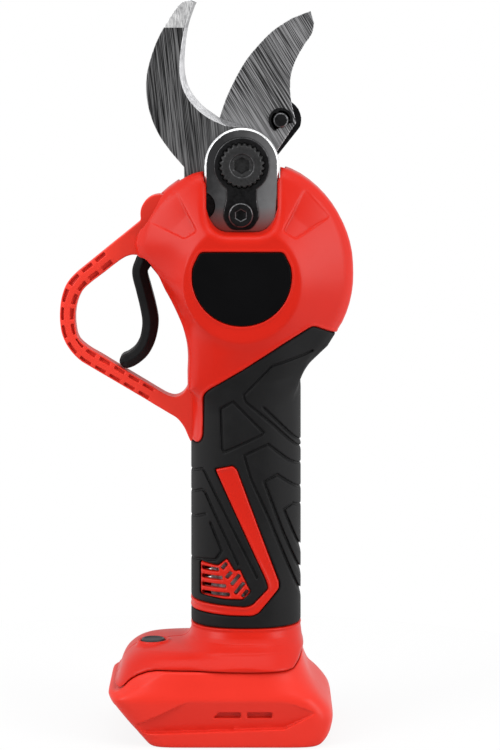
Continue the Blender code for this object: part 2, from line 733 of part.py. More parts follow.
def spline(x, z, radius, more=0.0):
    """Outline of the serrated bolt head and of the hole that holds it."""
    found = []
    for i in range(2 * SPLINE_TEETH):
        reach = radius + more - (SPLINE_DEEP if i % 2 else 0.0)
        angle = math.pi * (i + 0.5) / SPLINE_TEETH
        found.append((x + reach * math.cos(angle), z + reach * math.sin(angle)))
    return found


def hexagon(x, z, flats):
    return circle(x, z, flats / math.sqrt(3), 6)


def bridge_outline(by=0.0):
    """Round boss over the pivot, straight flanks, and the tab that takes the lock screw."""
    top = arc(PIVOT_X, PIVOT_Z, HUB_R + by, 0, 180, 14)
    half = NOTCH_W + 0.0001 + by
    low = PIVOT_Z - NOTCH_DROP + GAP - by
    return top + [
        (PIVOT_X - HUB_R - by, PIVOT_Z - 0.012),
        (PIVOT_X - half, low),
        (PIVOT_X + half, low),
        (PIVOT_X + HUB_R + by, PIVOT_Z - 0.012),
    ]


def screw(name, x, z, shank_r, head_r, span, flats, look, count=8):
    """Round-headed screw along Y with a hex recess. The span is its tip, its head's underside and top."""
    tip, under, top = span
    way = 1 if top > tip else -1
    steps = [(shank_r, tip), (shank_r, under), (head_r, under)]
    steps += [(head_r, top - way * 0.0007), (head_r - 0.0006, top)]
    made = turned(name, x, z, steps, count)
    inner = sorted((top + way * 0.001, top - way * abs(top - under) * 0.7))
    cut(made, prism("socket", hexagon(x, z, flats), inner[0], inner[1]))
    return finish(made, name, look, x, 0.0, z)


def build_pivot(steel, bright, black):
    """Everything that is stacked on the pivot bolt, front to back."""
    serrated = spline(PIVOT_X, PIVOT_Z, SPLINE_R)
    top = spline(PIVOT_X, PIVOT_Z, SPLINE_R, -SPLINE_DEEP)
    layers = [(PLATE_FRONT - 0.0017, top), (PLATE_FRONT - 0.001, serrated), (PLATE_BACK, serrated)]
    bolt = slab("bolt", layers)
    shank = [(BOLT_R, PLATE_BACK - 0.001), (BOLT_R, FRAME_BACK + 0.0064)]
    join(bolt, turned("shank", PIVOT_X, PIVOT_Z, shank, 16))
    cut(bolt, prism("socket", hexagon(PIVOT_X, PIVOT_Z, 0.0062), PLATE_FRONT - 0.005, PLATE_FRONT + 0.0012))
    finish(bolt, "pivot_bolt", black, PIVOT_X, 0.0, PIVOT_Z)

    hole = BOLT_R + TURN
    ear_x, ear_z = PIVOT_X + EAR_X, PIVOT_Z + EAR_Z
    foot_x, foot_z = PIVOT_X + LOCK_X, PIVOT_Z + LOCK_Z
    bridge = prism("bridge", bridge_outline(), BRIDGE_FRONT + 0.0007, BRIDGE_BACK)
    rim = slab("rim", [(BRIDGE_FRONT, bridge_outline(-0.0007)), (BRIDGE_FRONT + 0.0008, bridge_outline())])
    ear = turned("ear", ear_x, ear_z, [(EAR_R, BRIDGE_FRONT + 0.0007), (EAR_R, BRIDGE_BACK)], 14)
    join(bridge, rim, ear)
    relief = [(-15.5, -45), (15.5, -45), (15.5, -18.8), (-9.5, -18.8), (-9.5, -25.3), (-15.5, -25.3)]
    cut(bridge, prism("relief", from_pivot(relief), BRIDGE_BACK - 0.0014, 0.0))
    cut(bridge, turned("hole", PIVOT_X, PIVOT_Z, [(hole, -0.03), (hole, 0.0)], 16))
    cut(bridge, turned("hole", foot_x, foot_z, [(0.0028, -0.03), (0.0028, 0.0)], 12))
    sink = [(0.0061, BRIDGE_FRONT - 0.001), (0.0061, BRIDGE_FRONT + 0.0012)]
    sink += [(0.0033, BRIDGE_FRONT + 0.004), (0.0033, 0.0)]
    cut(bridge, turned("sink", ear_x, ear_z, sink, 14))
    finish(bridge, "front_bridge", bright, PIVOT_X, 0.0, PIVOT_Z)

    steps = [(0.0058, BRIDGE_FRONT + 0.0008), (0.0058, BRIDGE_FRONT + 0.0011), (0.003, BRIDGE_FRONT + 0.0037)]
    fixing = turned("fixing", ear_x, ear_z, steps + [(0.003, MOVING_FRONT + 0.0045)], 14)
    cut(fixing, prism("socket", hexagon(ear_x, ear_z, 0.004), BRIDGE_FRONT - 0.001, BRIDGE_FRONT + 0.0028))
    finish(fixing, "bridge_screw", black, ear_x, 0.0, ear_z)

    back = PLATE_BACK - GAP
    plate = turned("plate", PIVOT_X, PIVOT_Z, [(PLATE_R, PLATE_FRONT), (PLATE_R, back)], 26)
    lobe = turned("lobe", foot_x, foot_z, [(LOBE_R, PLATE_FRONT), (LOBE_R, back)], 20)
    neck = box("neck", PIVOT_X - 0.0066, PIVOT_X + 0.0064, PLATE_FRONT, back, foot_z - 0.001, PIVOT_Z - 0.005)
    join(plate, lobe, neck)
    flat = PIVOT_Z - NOTCH_DROP + 0.0016
    cut(plate, box("flat", PIVOT_X - 0.03, PIVOT_X + 0.03, -0.03, 0.0, flat - 0.03, flat))
    cut(plate, prism("hole", spline(PIVOT_X, PIVOT_Z, SPLINE_R, GAP), -0.03, 0.0))
    cut(plate, turned("hole", foot_x, foot_z, [(0.0029, -0.03), (0.0029, 0.0)], 12))
    finish(plate, "lock_plate", black, foot_x, 0.0, foot_z)
    span = (BRIDGE_BACK - 0.0019, PLATE_FRONT - GAP, PLATE_FRONT - 0.0031)
    screw("lock_screw", foot_x, foot_z, 0.0025, 0.0052, span, 0.0042, black, 16)

    loop = [(hole, MOVING_FRONT), (BUSH_R, MOVING_FRONT), (BUSH_R, SECTOR_BACK), (hole, SECTOR_BACK)]
    rings = [[Vector((x, y, z)) for x, z in circle(PIVOT_X, PIVOT_Z, r, 16)] for r, y in loop]
    finish(loft("bush", rings, closed=True), "pivot_bush", steel, PIVOT_X, 0.0, PIVOT_Z)

    nut = prism("nut", hexagon(PIVOT_X, PIVOT_Z, 0.016), FRAME_BACK + GAP, FRAME_BACK + 0.0058)
    cut(nut, turned("hole", PIVOT_X, PIVOT_Z, [(hole, 0.0), (hole, 0.04)], 16))
    finish(nut, "pivot_nut", steel, PIVOT_X, 0.0, PIVOT_Z)


def build_blades(dark, black):
    """Hooked fixed blade in front, curved moving blade behind it, each ground on its outer side."""
    tip = from_pivot([(-19.1, 68.2)])
    hook = [(-21.7, 69.2), (-28.2, 65), (-36.6, 50), (-40.4, 31.3), (-35.4, 13.3), (-24.5, -1)]
    outer = smooth(from_pivot(hook), 4)
    inner = smooth(from_pivot([(-22.3, 59.5), (-24.2, 43), (-20.5, 29.4), (-9.5, 19.7)]), 4)
    ground = smooth(from_pivot([(-24, 57.5), (-26.2, 41), (-21.8, 25.6), (-6.9, 16.4)]), 4)
    ear_x, ear_z = PIVOT_X + EAR_X, PIVOT_Z + EAR_Z
    tail = arc(ear_x, ear_z, EAR_R - 0.0002, 175, 320, 7)
    hub = arc(PIVOT_X, PIVOT_Z, HUB_R, -120, 85, 14)
    back = tip + outer + tail + hub + inner[::-1]
    front = from_pivot([(-20.6, 66.9)]) + outer + tail + hub + ground[::-1]
    blade = slab("blade", [(FIXED_FRONT, front), (FIXED_BACK - 0.0016, back), (FIXED_BACK, back)])
    hole = BOLT_R + TURN
    cut(blade, turned("hole", PIVOT_X, PIVOT_Z, [(hole, -0.02), (hole, 0.01)], 16))
    cut(blade, turned("hole", ear_x, ear_z, [(0.0033, -0.02), (0.0033, 0.01)], 12))
    finish(blade, "fixed_blade", dark, PIVOT_X, 0.0, PIVOT_Z, 30)

    tip = from_pivot([(29, 64.6)])
    spine = smooth(from_pivot([(30.4, 58.6), (26.1, 49.9), (20.9, 37.7), (21, 26.1), (23, 17.6)]), 4)
    hub = arc(PIVOT_X, PIVOT_Z, HUB_R, 20, -220, 16)
    edge = smooth(from_pivot([(-9.6, 19.3), (-3.3, 35.1), (6.7, 49.9), (21, 61.5)]), 4)
    ground = smooth(from_pivot([(-7.4, 18.4), (-0.6, 33.6), (9, 47.6), (22.4, 58.8)]), 4)
    front = tip + spine + hub + edge
    back = from_pivot([(28.2, 62.2)]) + spine + hub + ground
    blade = slab("blade", [(MOVING_FRONT, front), (MOVING_FRONT + 0.0009, front), (MOVING_BACK, back)])
    wide = BUSH_R + TURN
    pin_x, pin_z = PIVOT_X + PIN_X, PIVOT_Z + PIN_Z
    cut(blade, turned("hole", PIVOT_X, PIVOT_Z, [(wide, -0.02), (wide, 0.02)], 16))
    cut(blade, turned("hole", pin_x, pin_z, [(PIN_R + RUN, -0.02), (PIN_R + RUN, 0.02)], 12))
    finish(blade, "moving_blade", dark, PIVOT_X, 0.0, PIVOT_Z, 30)

    groove = MOVING_FRONT - RUN
    neck = PIN_R - 0.0006
    steps = [(PIN_R - 0.0005, groove - 0.0019), (PIN_R, groove - 0.0015), (PIN_R, groove - 0.0008)]
    steps += [(neck, groove - 0.0008), (neck, groove), (PIN_R, groove), (PIN_R, ARM_BACK + RUN)]
    steps += [(PIN_R + 0.0016, ARM_BACK + RUN), (PIN_R + 0.0016, ARM_BACK + 0.0018)]
    finish(turned("pin", pin_x, pin_z, steps, 12), "drive_pin", black, pin_x, 0.0, pin_z)
    open_ring = arc(pin_x, pin_z, PIN_R + 0.0021, -50, 230, 12) + arc(pin_x, pin_z, neck + RUN, 230, -50, 12)
    clip = prism("clip", open_ring, groove - 0.0007, groove - 0.0001)
    finish(clip, "e_clip", black, pin_x, 0.0, pin_z)


def build_sector(black):
    """Hub, drive arm and a run of bevel teeth that taper towards the pivot, as on a bevel wheel."""
    hub = turned("sector", PIVOT_X, PIVOT_Z, [(0.013, ARM_FRONT), (0.013, SECTOR_BACK)], 20)
    reach = [(10.8, 8.2), (15.2, 3.6), (24, 15.6), (25.3, 19.5), (24, 23.4), (21.4, 25.6), (15, 25.4)]
    arm = prism("arm", from_pivot(reach + [(8, 17), (-4, 12.6)]), ARM_FRONT, ARM_BACK)
    inner = BEVEL_R - BEVEL_FACE
    outer = BEVEL_R + 0.0003
    pitch = 360 / SECTOR_TEETH
    add = 0.75 * BEVEL_MODULE
    ded = 1.15 * BEVEL_MODULE

    def section(angle, height):
        points = []
        for r, y in ((inner, None), (outer, None), (outer, SECTOR_BACK), (inner, SECTOR_BACK)):
            if y is None:
                y = r * BEVEL_SLOPE - height * r / BEVEL_R
            a = math.radians(angle)
            points.append(Vector((PIVOT_X + r * math.cos(a), y, PIVOT_Z + r * math.sin(a))))
        return points

    rings = []
    for k in range(-6, 2):
        middle = -90 + k * pitch
        for turn, height in ((-0.29, -ded), (-0.13, add), (0.13, add), (0.29, -ded)):
            rings.append(section(middle + turn * pitch, height))
    teeth = loft("teeth", rings)
    first = -90 - 6.29 * pitch
    last = -90 + 1.29 * pitch
    web = arc(PIVOT_X, PIVOT_Z, inner + 0.002, first + 1, last - 1, 12)
    web += arc(PIVOT_X, PIVOT_Z, 0.011, last - 1, first + 1, 12)
    join(hub, arm, prism("web", web, SECTOR_BACK - 0.0042, SECTOR_BACK - 0.0003), teeth)
    wide = BUSH_R + TURN
    cut(hub, turned("hole", PIVOT_X, PIVOT_Z, [(wide, -0.02), (wide, 0.04)]))
    pin_x, pin_z = PIVOT_X + PIN_X, PIVOT_Z + PIN_Z
    cut(hub, turned("hole", pin_x, pin_z, [(PIN_R + RUN, -0.02), (PIN_R + RUN, 0.04)], 12))
    finish(hub, "sector_gear", black, PIVOT_X, 0.0, PIVOT_Z, 30)


def gear_ring(x, y, teeth, module, turn, share=0.39, add=0.8, ded=1.1):
    """Toothed outline in the XY plane, four points to a tooth, with a tooth at angle turn."""
    pitch = 2 * math.pi / teeth
    radius = module * teeth / 2
    wide, narrow = share * 0.68, share * 0.34
    found = []
    for i in range(teeth):
        for part, reach in ((-wide, -ded), (-narrow, add), (narrow, add), (wide, -ded)):
            angle = turn + (i + part) * pitch
            r = radius + reach * module
            found.append((x + r * math.cos(angle), y + r * math.sin(angle)))
    return found


def mesh_angles():
    """Where the three planets stand, how each is turned to mesh with the sun, and how the ring is turned."""
    planets = []
    for k in range(3):
        place = 90 + 120 * k
        lead = (90 - place) % (360 / SUN_TEETH)
        own = place + 180 - lead * SUN_TEETH / PLANET_TEETH + 180 / PLANET_TEETH
        planets.append((place, own))
    place, own = planets[0]
    ahead = (own - place) % (360 / PLANET_TEETH)
    return planets, (place + ahead * PLANET_TEETH / RING_TEETH) % (360 / RING_TEETH)


def build_drive(steel):
    """Pinion, bearing and planet stage on one line below the pivot."""
    small = (BEVEL_R - BEVEL_FACE) / BEVEL_R
    half_pitch = math.pi / PINION_TEETH
    wheel = gear_ring(0, 0, PINION_TEETH, BEVEL_MODULE, math.pi / 2 + half_pitch, 0.38, 0.75, 1.1)
    rings = []
    for scale in (1.0, small):
        z = PIVOT_Z - BEVEL_R * scale
        rings.append((z, [(PIVOT_X + px * scale, py * scale) for px, py in wheel]))
    pinion = tower("pinion", rings)
    steps = [(SHAFT_R, CARRIER_LOW + 0.0005), (SHAFT_R, BLOCK_TOP + GAP)]
    steps += [(SHAFT_R + 0.0014, BLOCK_TOP + GAP), (SHAFT_R + 0.0014, PINION_Z + 0.0004)]
    join(pinion, spindle("shaft", PIVOT_X, 0.0, steps))
    cut(pinion, box("flat", PIVOT_X - 0.01, PIVOT_X + 0.01, SHAFT_FLAT, 0.01, MOTOR_TOP, CARRIER_TOP + GAP))
    finish(pinion, "bevel_pinion", steel, PIVOT_X, 0.0, PINION_Z, 30)

    low = BLOCK_BOTTOM + 0.004
    inner = SHAFT_R + RUN
    loop = [(inner, low), (BEARING_R, low), (BEARING_R, low + BEARING_H), (inner, low + BEARING_H)]
    finish(tube("bearing", PIVOT_X, 0.0, loop, 16), "pinion_bearing", steel, PIVOT_X, 0.0, low)

    planets, seat = mesh_angles()
    teeth = gear_ring(PIVOT_X, 0.0, RING_TEETH, PLANET_MODULE, math.radians(seat), 0.60, 1.15, 0.75)
    ring = spindle("ring", PIVOT_X, 0.0, [(RING_R, RING_BOTTOM), (RING_R, RING_TOP)], 20)
    cut(ring, tower("teeth", [(RING_BOTTOM - 0.001, teeth), (CARRIER_LOW, teeth)]))
    room = CARRIER_R + 0.001
    cut(ring, spindle("room", PIVOT_X, 0.0, [(room, CARRIER_LOW - 0.0004), (room, RING_TOP + 0.001)], 20))
    finish(ring, "ring_gear", steel, PIVOT_X, 0.0, RING_BOTTOM, 30)

    carrier = spindle("carrier", PIVOT_X, 0.0, [(CARRIER_R, CARRIER_LOW), (CARRIER_R, CARRIER_TOP)], 20)
    bore = spindle("bore", PIVOT_X, 0.0, [(inner, CARRIER_LOW - 0.01), (inner, CARRIER_TOP + 0.01)])
    cut(bore, box("flat", -0.1, 0.1, SHAFT_FLAT + RUN, 0.02, CARRIER_LOW - 0.02, CARRIER_TOP + 0.02))
    cut(carrier, bore)
    for k, (place, own) in enumerate(planets):
        px = PIVOT_X + PLANET_ORBIT * math.cos(math.radians(place))
        py = PLANET_ORBIT * math.sin(math.radians(place))
        join(carrier, spindle("peg", px, py, [(PEG_R, PLANET_BOTTOM - GAP), (PEG_R, CARRIER_TOP - 0.002)], 8))
        outline = gear_ring(px, py, PLANET_TEETH, PLANET_MODULE, math.radians(own))
        planet = tower("planet", [(PLANET_BOTTOM, outline), (PLANET_TOP, outline)])
        bore = PEG_R + TURN
        cut(planet, spindle("bore", px, py, [(bore, PLANET_BOTTOM - 0.01), (bore, PLANET_TOP + 0.01)], 8))
        finish(planet, f"planet_gear_{k + 1}", steel, px, py, PLANET_BOTTOM, 30)
    finish(carrier, "planet_carrier", steel, PIVOT_X, 0.0, CARRIER_TOP, 30)


def build_motor(steel, black, silver, copper):
    """Can, windings, rotor with the sun gear on its shaft, and end cap."""
    inner = MOTOR_R - CAN_T
    nose = MOTOR_TOP - 0.003
    loop = [(0.0062, MOTOR_TOP), (0.0062, nose), (inner, nose), (inner, MOTOR_BOTTOM)]
    loop += [(MOTOR_R, MOTOR_BOTTOM), (MOTOR_R, MOTOR_TOP - 0.001), (MOTOR_R - 0.001, MOTOR_TOP)]
    finish(tube("can", PIVOT_X, 0.0, loop, 18), "motor_can", silver, PIVOT_X, 0.0, MOTOR_BOTTOM)
    low = MOTOR_BOTTOM + 0.012
    high = MOTOR_TOP - 0.01
    bore = ROTOR_R + TURN + RUN
    loop = [(bore, low), (inner - GAP, low), (inner - GAP, high), (bore, high)]
    finish(tube("stator", PIVOT_X, 0.0, loop, 16), "motor_stator", copper, PIVOT_X, 0.0, low)
    shaft = MOTOR_SHAFT_R
    ends = (low + 0.001, high - 0.001)
    steps = [(shaft, MOTOR_BOTTOM - 0.002), (shaft, ends[0]), (ROTOR_R, ends[0]), (ROTOR_R, ends[1])]
    steps += [(shaft, ends[1]), (shaft, PLANET_BOTTOM + 0.001)]
    rotor = spindle("rotor", PIVOT_X, 0.0, steps, 14)
    sun = gear_ring(PIVOT_X, 0.0, SUN_TEETH, PLANET_MODULE, math.radians(90))
    join(rotor, tower("sun", [(PLANET_BOTTOM, sun), (PLANET_TOP - 2 * GAP, sun)]))
    finish(rotor, "motor_rotor", steel, PIVOT_X, 0.0, low, 30)
    hole = shaft + TURN
    under, rim, over = MOTOR_BOTTOM - 0.004, MOTOR_BOTTOM - GAP, MOTOR_BOTTOM + 0.004
    loop = [(hole, under), (MOTOR_R, under), (MOTOR_R, rim), (inner - GAP, rim)]
    loop += [(inner - GAP, over), (hole, over)]
    finish(tube("cap", PIVOT_X, 0.0, loop, 16), "motor_end_cap", black, PIVOT_X, 0.0, MOTOR_BOTTOM)


def build_frame(silver):
    """Casting that ties the pivot, the fixed blade's ledge and the pinion bearing together."""
    low = BLOCK_BOTTOM
    ear_x, ear_z = PIVOT_X + EAR_X, PIVOT_Z + EAR_Z
    outline = [(-28.2, -16.3), (-28.2, -29.8), (-11.2, -41.3), (11.2, -41.3), (20.8, -31.3), (20.8, -16.3)]
    frame = prism("frame", from_pivot(outline), FRAME_FRONT, FRAME_BACK)
    wall = from_pivot([(-28.2, -18.8), (-28.2, -29.8), (-24.6, -31.8), (-24.6, -16.3)])
    ledge = from_pivot([(-28.2, -18.8), (-28.2, -29.8), (-24.6, -31.8), (-17.2, -24.3)])
    shelf = MOVING_FRONT + 0.0052
    join(frame, prism("wall", wall, MOVING_FRONT, FRAME_FRONT + 0.001))
    join(frame, prism("ledge", ledge, MOVING_FRONT, shelf))
    join(frame, turned("boss", ear_x, ear_z, [(EAR_R - 0.0001, MOVING_FRONT), (EAR_R - 0.0001, shelf)], 14))
    join(frame, spindle("block", PIVOT_X, 0.0, [(BLOCK_R, low), (BLOCK_R, BLOCK_TOP)], 20))
    join(frame, box("web", PIVOT_X - 0.011, PIVOT_X + 0.011, 0.004, FRAME_FRONT + 0.001, low, BLOCK_TOP))
    keep(frame, head_solid("room", WALL + 0.001, 20))
    steps = [(HUB_R, FRAME_FRONT), (HUB_R, FRAME_BACK - 0.0008), (HUB_R - 0.0008, FRAME_BACK)]
    boss = turned("boss", PIVOT_X, PIVOT_Z, steps, 26)
    half = HUB_R - 0.0006
    corners = ((-1, -0.0213), (1, -0.0213), (1, 0), (-1, 0))
    stem = [(PIVOT_X + side * half, PIVOT_Z + z) for side, z in corners]
    join(frame, boss, prism("stem", stem, FRAME_FRONT, FRAME_BACK))
    hole = BOLT_R + TURN
    cut(frame, turned("hole", PIVOT_X, PIVOT_Z, [(hole, 0.0), (hole, 0.04)], 16))
    cut(frame, turned("hole", ear_x, ear_z, [(0.0033, -0.02), (0.0033, 0.01)], 12))
    step = low + 0.0035
    wide = BEARING_R + RUN
    bore = [(SHAFT_R + TURN, low - 0.01), (SHAFT_R + TURN, step), (wide, step), (wide, BLOCK_TOP + 0.01)]
    cut(frame, spindle("bore", PIVOT_X, 0.0, bore, 18))
    finish(frame, "head_frame", silver, PIVOT_X, 0.0, PIVOT_Z, 30)


def build_trigger(black, steel):
    """Curved finger lever on a cross pin, its short inner arm under a coil spring."""
    line = from_trigger([(-4.4, -4.4), (-6.2, -9.6), (-3.6, -22), (-2.2, -33), (-5.4, -42.4), (-13.4, -47.4)])
    line = smooth(line, 4)
    widths = [TRIGGER_T - 0.0008 * abs(i / (len(line) - 1) - 0.55) for i in range(len(line))]
    lever = prism("lever", ribbon(line, widths), -TRIGGER_W, TRIGGER_W)
    boss = turned("boss", TRIGGER_X, TRIGGER_Z, [(TRIGGER_BOSS, -TRIGGER_W), (TRIGGER_BOSS, TRIGGER_W)], 16)
    neck = from_trigger([(-6.8, -3.6), (-3, -8.4), (2.4, -2.4), (-0.6, 3.2), (-3.2, 0.4)])
    end = SPRING_X + SPRING_R + 0.001
    under, over = TRIGGER_Z - TRIGGER_ARM - SPRING_WIRE, TRIGGER_Z + TRIGGER_ARM
    arm = box("arm", TRIGGER_X, end, -0.0035, 0.0035, under, over)
    join(lever, boss, prism("neck", neck, -TRIGGER_W, TRIGGER_W), arm)
    hole = TRIGGER_PIN_R + TURN
    cut(lever, turned("hole", TRIGGER_X, TRIGGER_Z, [(hole, -0.02), (hole, 0.02)], 12))
    finish(lever, "trigger", black, TRIGGER_X, 0.0, TRIGGER_Z, 35)
    pin = turned("pin", TRIGGER_X, TRIGGER_Z, [(TRIGGER_PIN_R, -0.0125), (TRIGGER_PIN_R, 0.0125)], 12)
    finish(pin, "trigger_pin", steel, TRIGGER_X, 0.0, TRIGGER_Z)
    x = end + 0.0001
    magnet = box("magnet", x, x + 0.002, -0.002, 0.002, TRIGGER_Z - 0.0018, TRIGGER_Z + 0.0014)
    finish(magnet, "trigger_magnet", steel, x, 0.0, TRIGGER_Z)
    face = x + 0.002 + 0.0016
    wide = HEAD_DEPTH - 0.007
    board = box("board", face + 0.0008, face + 0.002, -wide, wide, TRIGGER_Z - 0.0095, TRIGGER_Z + 0.002)
    chip = box("chip", face, face + 0.0012, -0.002, 0.002, TRIGGER_Z - 0.0025, TRIGGER_Z + 0.0015)
    green = material("board green", (0.01, 0.09, 0.03), 0.5)
    finish(join(board, chip), "sensor_board", green, face, 0.0, TRIGGER_Z)
    build_spring(steel)


def build_spring(steel):
    """Coil from the trigger's arm up to the guard's seat: one wire swept along a helix."""
    low = TRIGGER_Z + TRIGGER_ARM + GAP + SPRING_WIRE
    high = TRIGGER_Z + SPRING_SEAT - GAP - SPRING_WIRE
    count = 8 * SPRING_TURNS
    up = Vector((0, 0, 1))
    middles, rings = [], []
    for i in range(count + 1):
        angle = 2 * math.pi * SPRING_TURNS * i / count
        out = Vector((math.cos(angle), math.sin(angle), 0.0))
        middle = Vector((SPRING_X, 0.0, low + (high - low) * i / count)) + out * SPRING_R
        middles.append(middle)
        corners = [(math.cos(math.pi * k / 2), math.sin(math.pi * k / 2)) for k in range(4)]
        rings.append([middle + (out * c + up * s) * SPRING_WIRE for c, s in corners])
    finish(loft("spring", rings), "trigger_spring", steel, SPRING_X, 0.0, high, 80)
    apart = [(a - b).length for i, a in enumerate(middles) for b in middles[i + 6:]]
    print(f"trigger spring: least gap between turns {(min(apart) - 2 * SPRING_WIRE) * 1000:.2f} mm")


def build_button(black):
    """Push button in the foot and the switch under it."""
    steps = [(0.0025, BUTTON_TOP - 0.0048), (0.0025, BUTTON_TOP - 0.0038), (BUTTON_R, BUTTON_TOP - 0.0038)]
    steps += [(BUTTON_R, BUTTON_TOP - 0.0006), (BUTTON_R - 0.0006, BUTTON_TOP)]
    x, y = BUTTON_X, BUTTON_Y
    finish(spindle("button", x, y, steps), "power_button", black, x, y, BUTTON_TOP)
    top = SWITCH_TOP - 0.004
    base = box("switch", x - BUTTON_R, x + BUTTON_R, y - BUTTON_R, y + BUTTON_R, FOOT_FLOOR + GAP, top)
    join(base, spindle("stem", x, y, [(0.0022, top - 0.0005), (0.0022, SWITCH_TOP)], 10))
    finish(base, "switch_block", black, x, y, FOOT_FLOOR)


def build_electrics(silver, black, copper):
    """Controller on its finned tray in the handle, contacts in the roof of the battery bay."""
    low = GRIP_BOTTOM + 0.0041
    high = MOTOR_BOTTOM - 0.0184
    tray = box("tray", PIVOT_X - TRAY_W, PIVOT_X + TRAY_W, -TRAY_D, TRAY_D, low, high)
    inner = TRAY_W - TRAY_T
    floor = TRAY_T - TRAY_D
    cut(tray, box("inside", PIVOT_X - inner, PIVOT_X + inner, floor, 0.02, low + TRAY_T, high - TRAY_T))
    for i in range(5):
        x = PIVOT_X - TRAY_W + 0.0025 + 0.0045 * i
        cut(tray, box("fin", x, x + 0.0022, -0.02, -TRAY_D + 0.0009, low - 0.002, high + 0.002))
    finish(tray, "controller_tray", silver, PIVOT_X, 0.0, low)
    half = inner - GAP - 0.0001
    top = floor + 0.002
    edge = TRAY_T + GAP + 0.0002
    board = box("board", PIVOT_X - half, PIVOT_X + half, floor + GAP + 0.0001, top, low + edge, high - edge)
    for side in (-1, 1):
        steps = [(0.0042, top - 0.0005), (0.0042, top + 0.013)]
        join(board, turned("can", PIVOT_X + side * 0.0058, low + 0.0115, steps, 10))
    wide = 0.0072
    chip = box("chip", PIVOT_X - wide, PIVOT_X + wide, top - 0.0005, top + 0.003, high - 0.02, high - 0.008)
    join(board, chip)
    finish(board, "controller_board", material("board blue", (0.01, 0.03, 0.1), 0.5), PIVOT_X, 0.0, low)

    x = TERMINAL_X
    block = box("block", x - 0.0055, x + 0.0055, -0.013, 0.013, CEILING - TERMINAL_H, CEILING - GAP)
    join(block, box("neck", x - 0.0035, x + 0.0035, -0.008, 0.008, CEILING - 0.001, FOOT_FLOOR + 0.002))
    under = CEILING - TERMINAL_H + 0.0013
    over = CEILING - 0.0025
    for name, y in (("contact_minus", -0.009), ("contact_data", 0.0), ("contact_plus", 0.009)):
        half = 0.0005
        blade = box(name, x - 0.017, x, y - half, y + half, under, over)
        half += GAP
        cut(block, box("slit", x - 0.0185, x + GAP, y - half, y + half, under - GAP, over + GAP))
        finish(blade, name, copper, x, y, under)
    finish(block, "terminal_block", black, x, 0.0, CEILING)


def build_fasteners(black):
    for k, (x, z, depth) in enumerate(screw_posts()):
        top = depth - SCREW_SINK
        span = (-0.0105, top - 0.0025, top)
        screw(f"housing_screw_{k + 1}", x, z, SCREW_R, SCREW_HEAD_R, span, 0.0026, black)
    span = (-0.0095, 0.0088, 0.0112)
    screw("guard_screw", PIVOT_X + EYE_X, PIVOT_Z + EYE_Z, 0.0015, 0.0032, span, 0.0026, black)


def build_badge(gloss):
    plate = prism("badge", badge_outline(), -HEAD_DEPTH - 0.0005, -HEAD_DEPTH + SKIN - GAP)
    finish(plate, "head_badge", gloss, PIVOT_X, -HEAD_DEPTH, HEAD_Z)


def main():
    clear_scene()
    red = material("red shell", (0.62, 0.015, 0.01), 0.38)
    rubber = material("black rubber", (0.012, 0.012, 0.013), 0.75)
    black = material("blackened steel", (0.02, 0.02, 0.022), 0.42, 0.6)
    plastic = material("black plastic", (0.014, 0.014, 0.015), 0.5)
    gloss = material("gloss black", (0.006, 0.006, 0.007), 0.12)
    dark = material("brushed blade steel", (0.23, 0.23, 0.24), 0.36, 1.0)
    steel = material("steel", (0.45, 0.45, 0.47), 0.3, 1.0)
    bright = material("bright nickel", (0.62, 0.62, 0.64), 0.2, 1.0)
    silver = material("cast aluminium", (0.55, 0.55, 0.56), 0.45, 1.0)
    copper = material("copper", (0.6, 0.28, 0.12), 0.35, 1.0)
    build_shells(red)
    build_grips(rubber)
    build_seat(red)
    build_guard(red)
    build_pivot(steel, bright, black)
    build_blades(dark, black)
    build_sector(black)
    build_drive(steel)
    build_motor(steel, plastic, silver, copper)
    build_frame(silver)
    build_trigger(plastic, steel)
    build_button(plastic)
    build_electrics(silver, plastic, copper)
    build_fasteners(black)
    build_badge(gloss)


main()
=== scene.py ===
"""Battery pruner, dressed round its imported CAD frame: moulded shells, rubber, steel and studio light."""

import logging
import math
from dataclasses import dataclass, field
from enum import Enum
from typing import Any, Callable, Sequence, Union

import bmesh
import bpy
import numpy as np
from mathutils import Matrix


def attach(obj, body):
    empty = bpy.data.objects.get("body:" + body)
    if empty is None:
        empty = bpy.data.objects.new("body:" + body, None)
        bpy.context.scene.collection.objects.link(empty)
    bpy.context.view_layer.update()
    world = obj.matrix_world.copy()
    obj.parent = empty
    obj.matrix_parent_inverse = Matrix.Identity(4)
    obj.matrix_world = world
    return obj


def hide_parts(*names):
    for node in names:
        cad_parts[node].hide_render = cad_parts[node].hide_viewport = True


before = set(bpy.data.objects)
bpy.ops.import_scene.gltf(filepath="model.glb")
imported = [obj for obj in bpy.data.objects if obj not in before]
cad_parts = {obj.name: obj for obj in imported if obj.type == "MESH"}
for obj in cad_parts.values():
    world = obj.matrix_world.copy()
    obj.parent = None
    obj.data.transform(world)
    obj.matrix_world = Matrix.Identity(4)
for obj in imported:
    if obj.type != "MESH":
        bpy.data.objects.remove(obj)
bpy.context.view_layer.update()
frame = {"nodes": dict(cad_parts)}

import openvdb
from mathutils import Vector

LOG = logging.getLogger("pruner")
MM = 0.001

Point = tuple[float, float]
Outline = list[Point]
Colour = tuple[float, float, float]
Array = np.ndarray

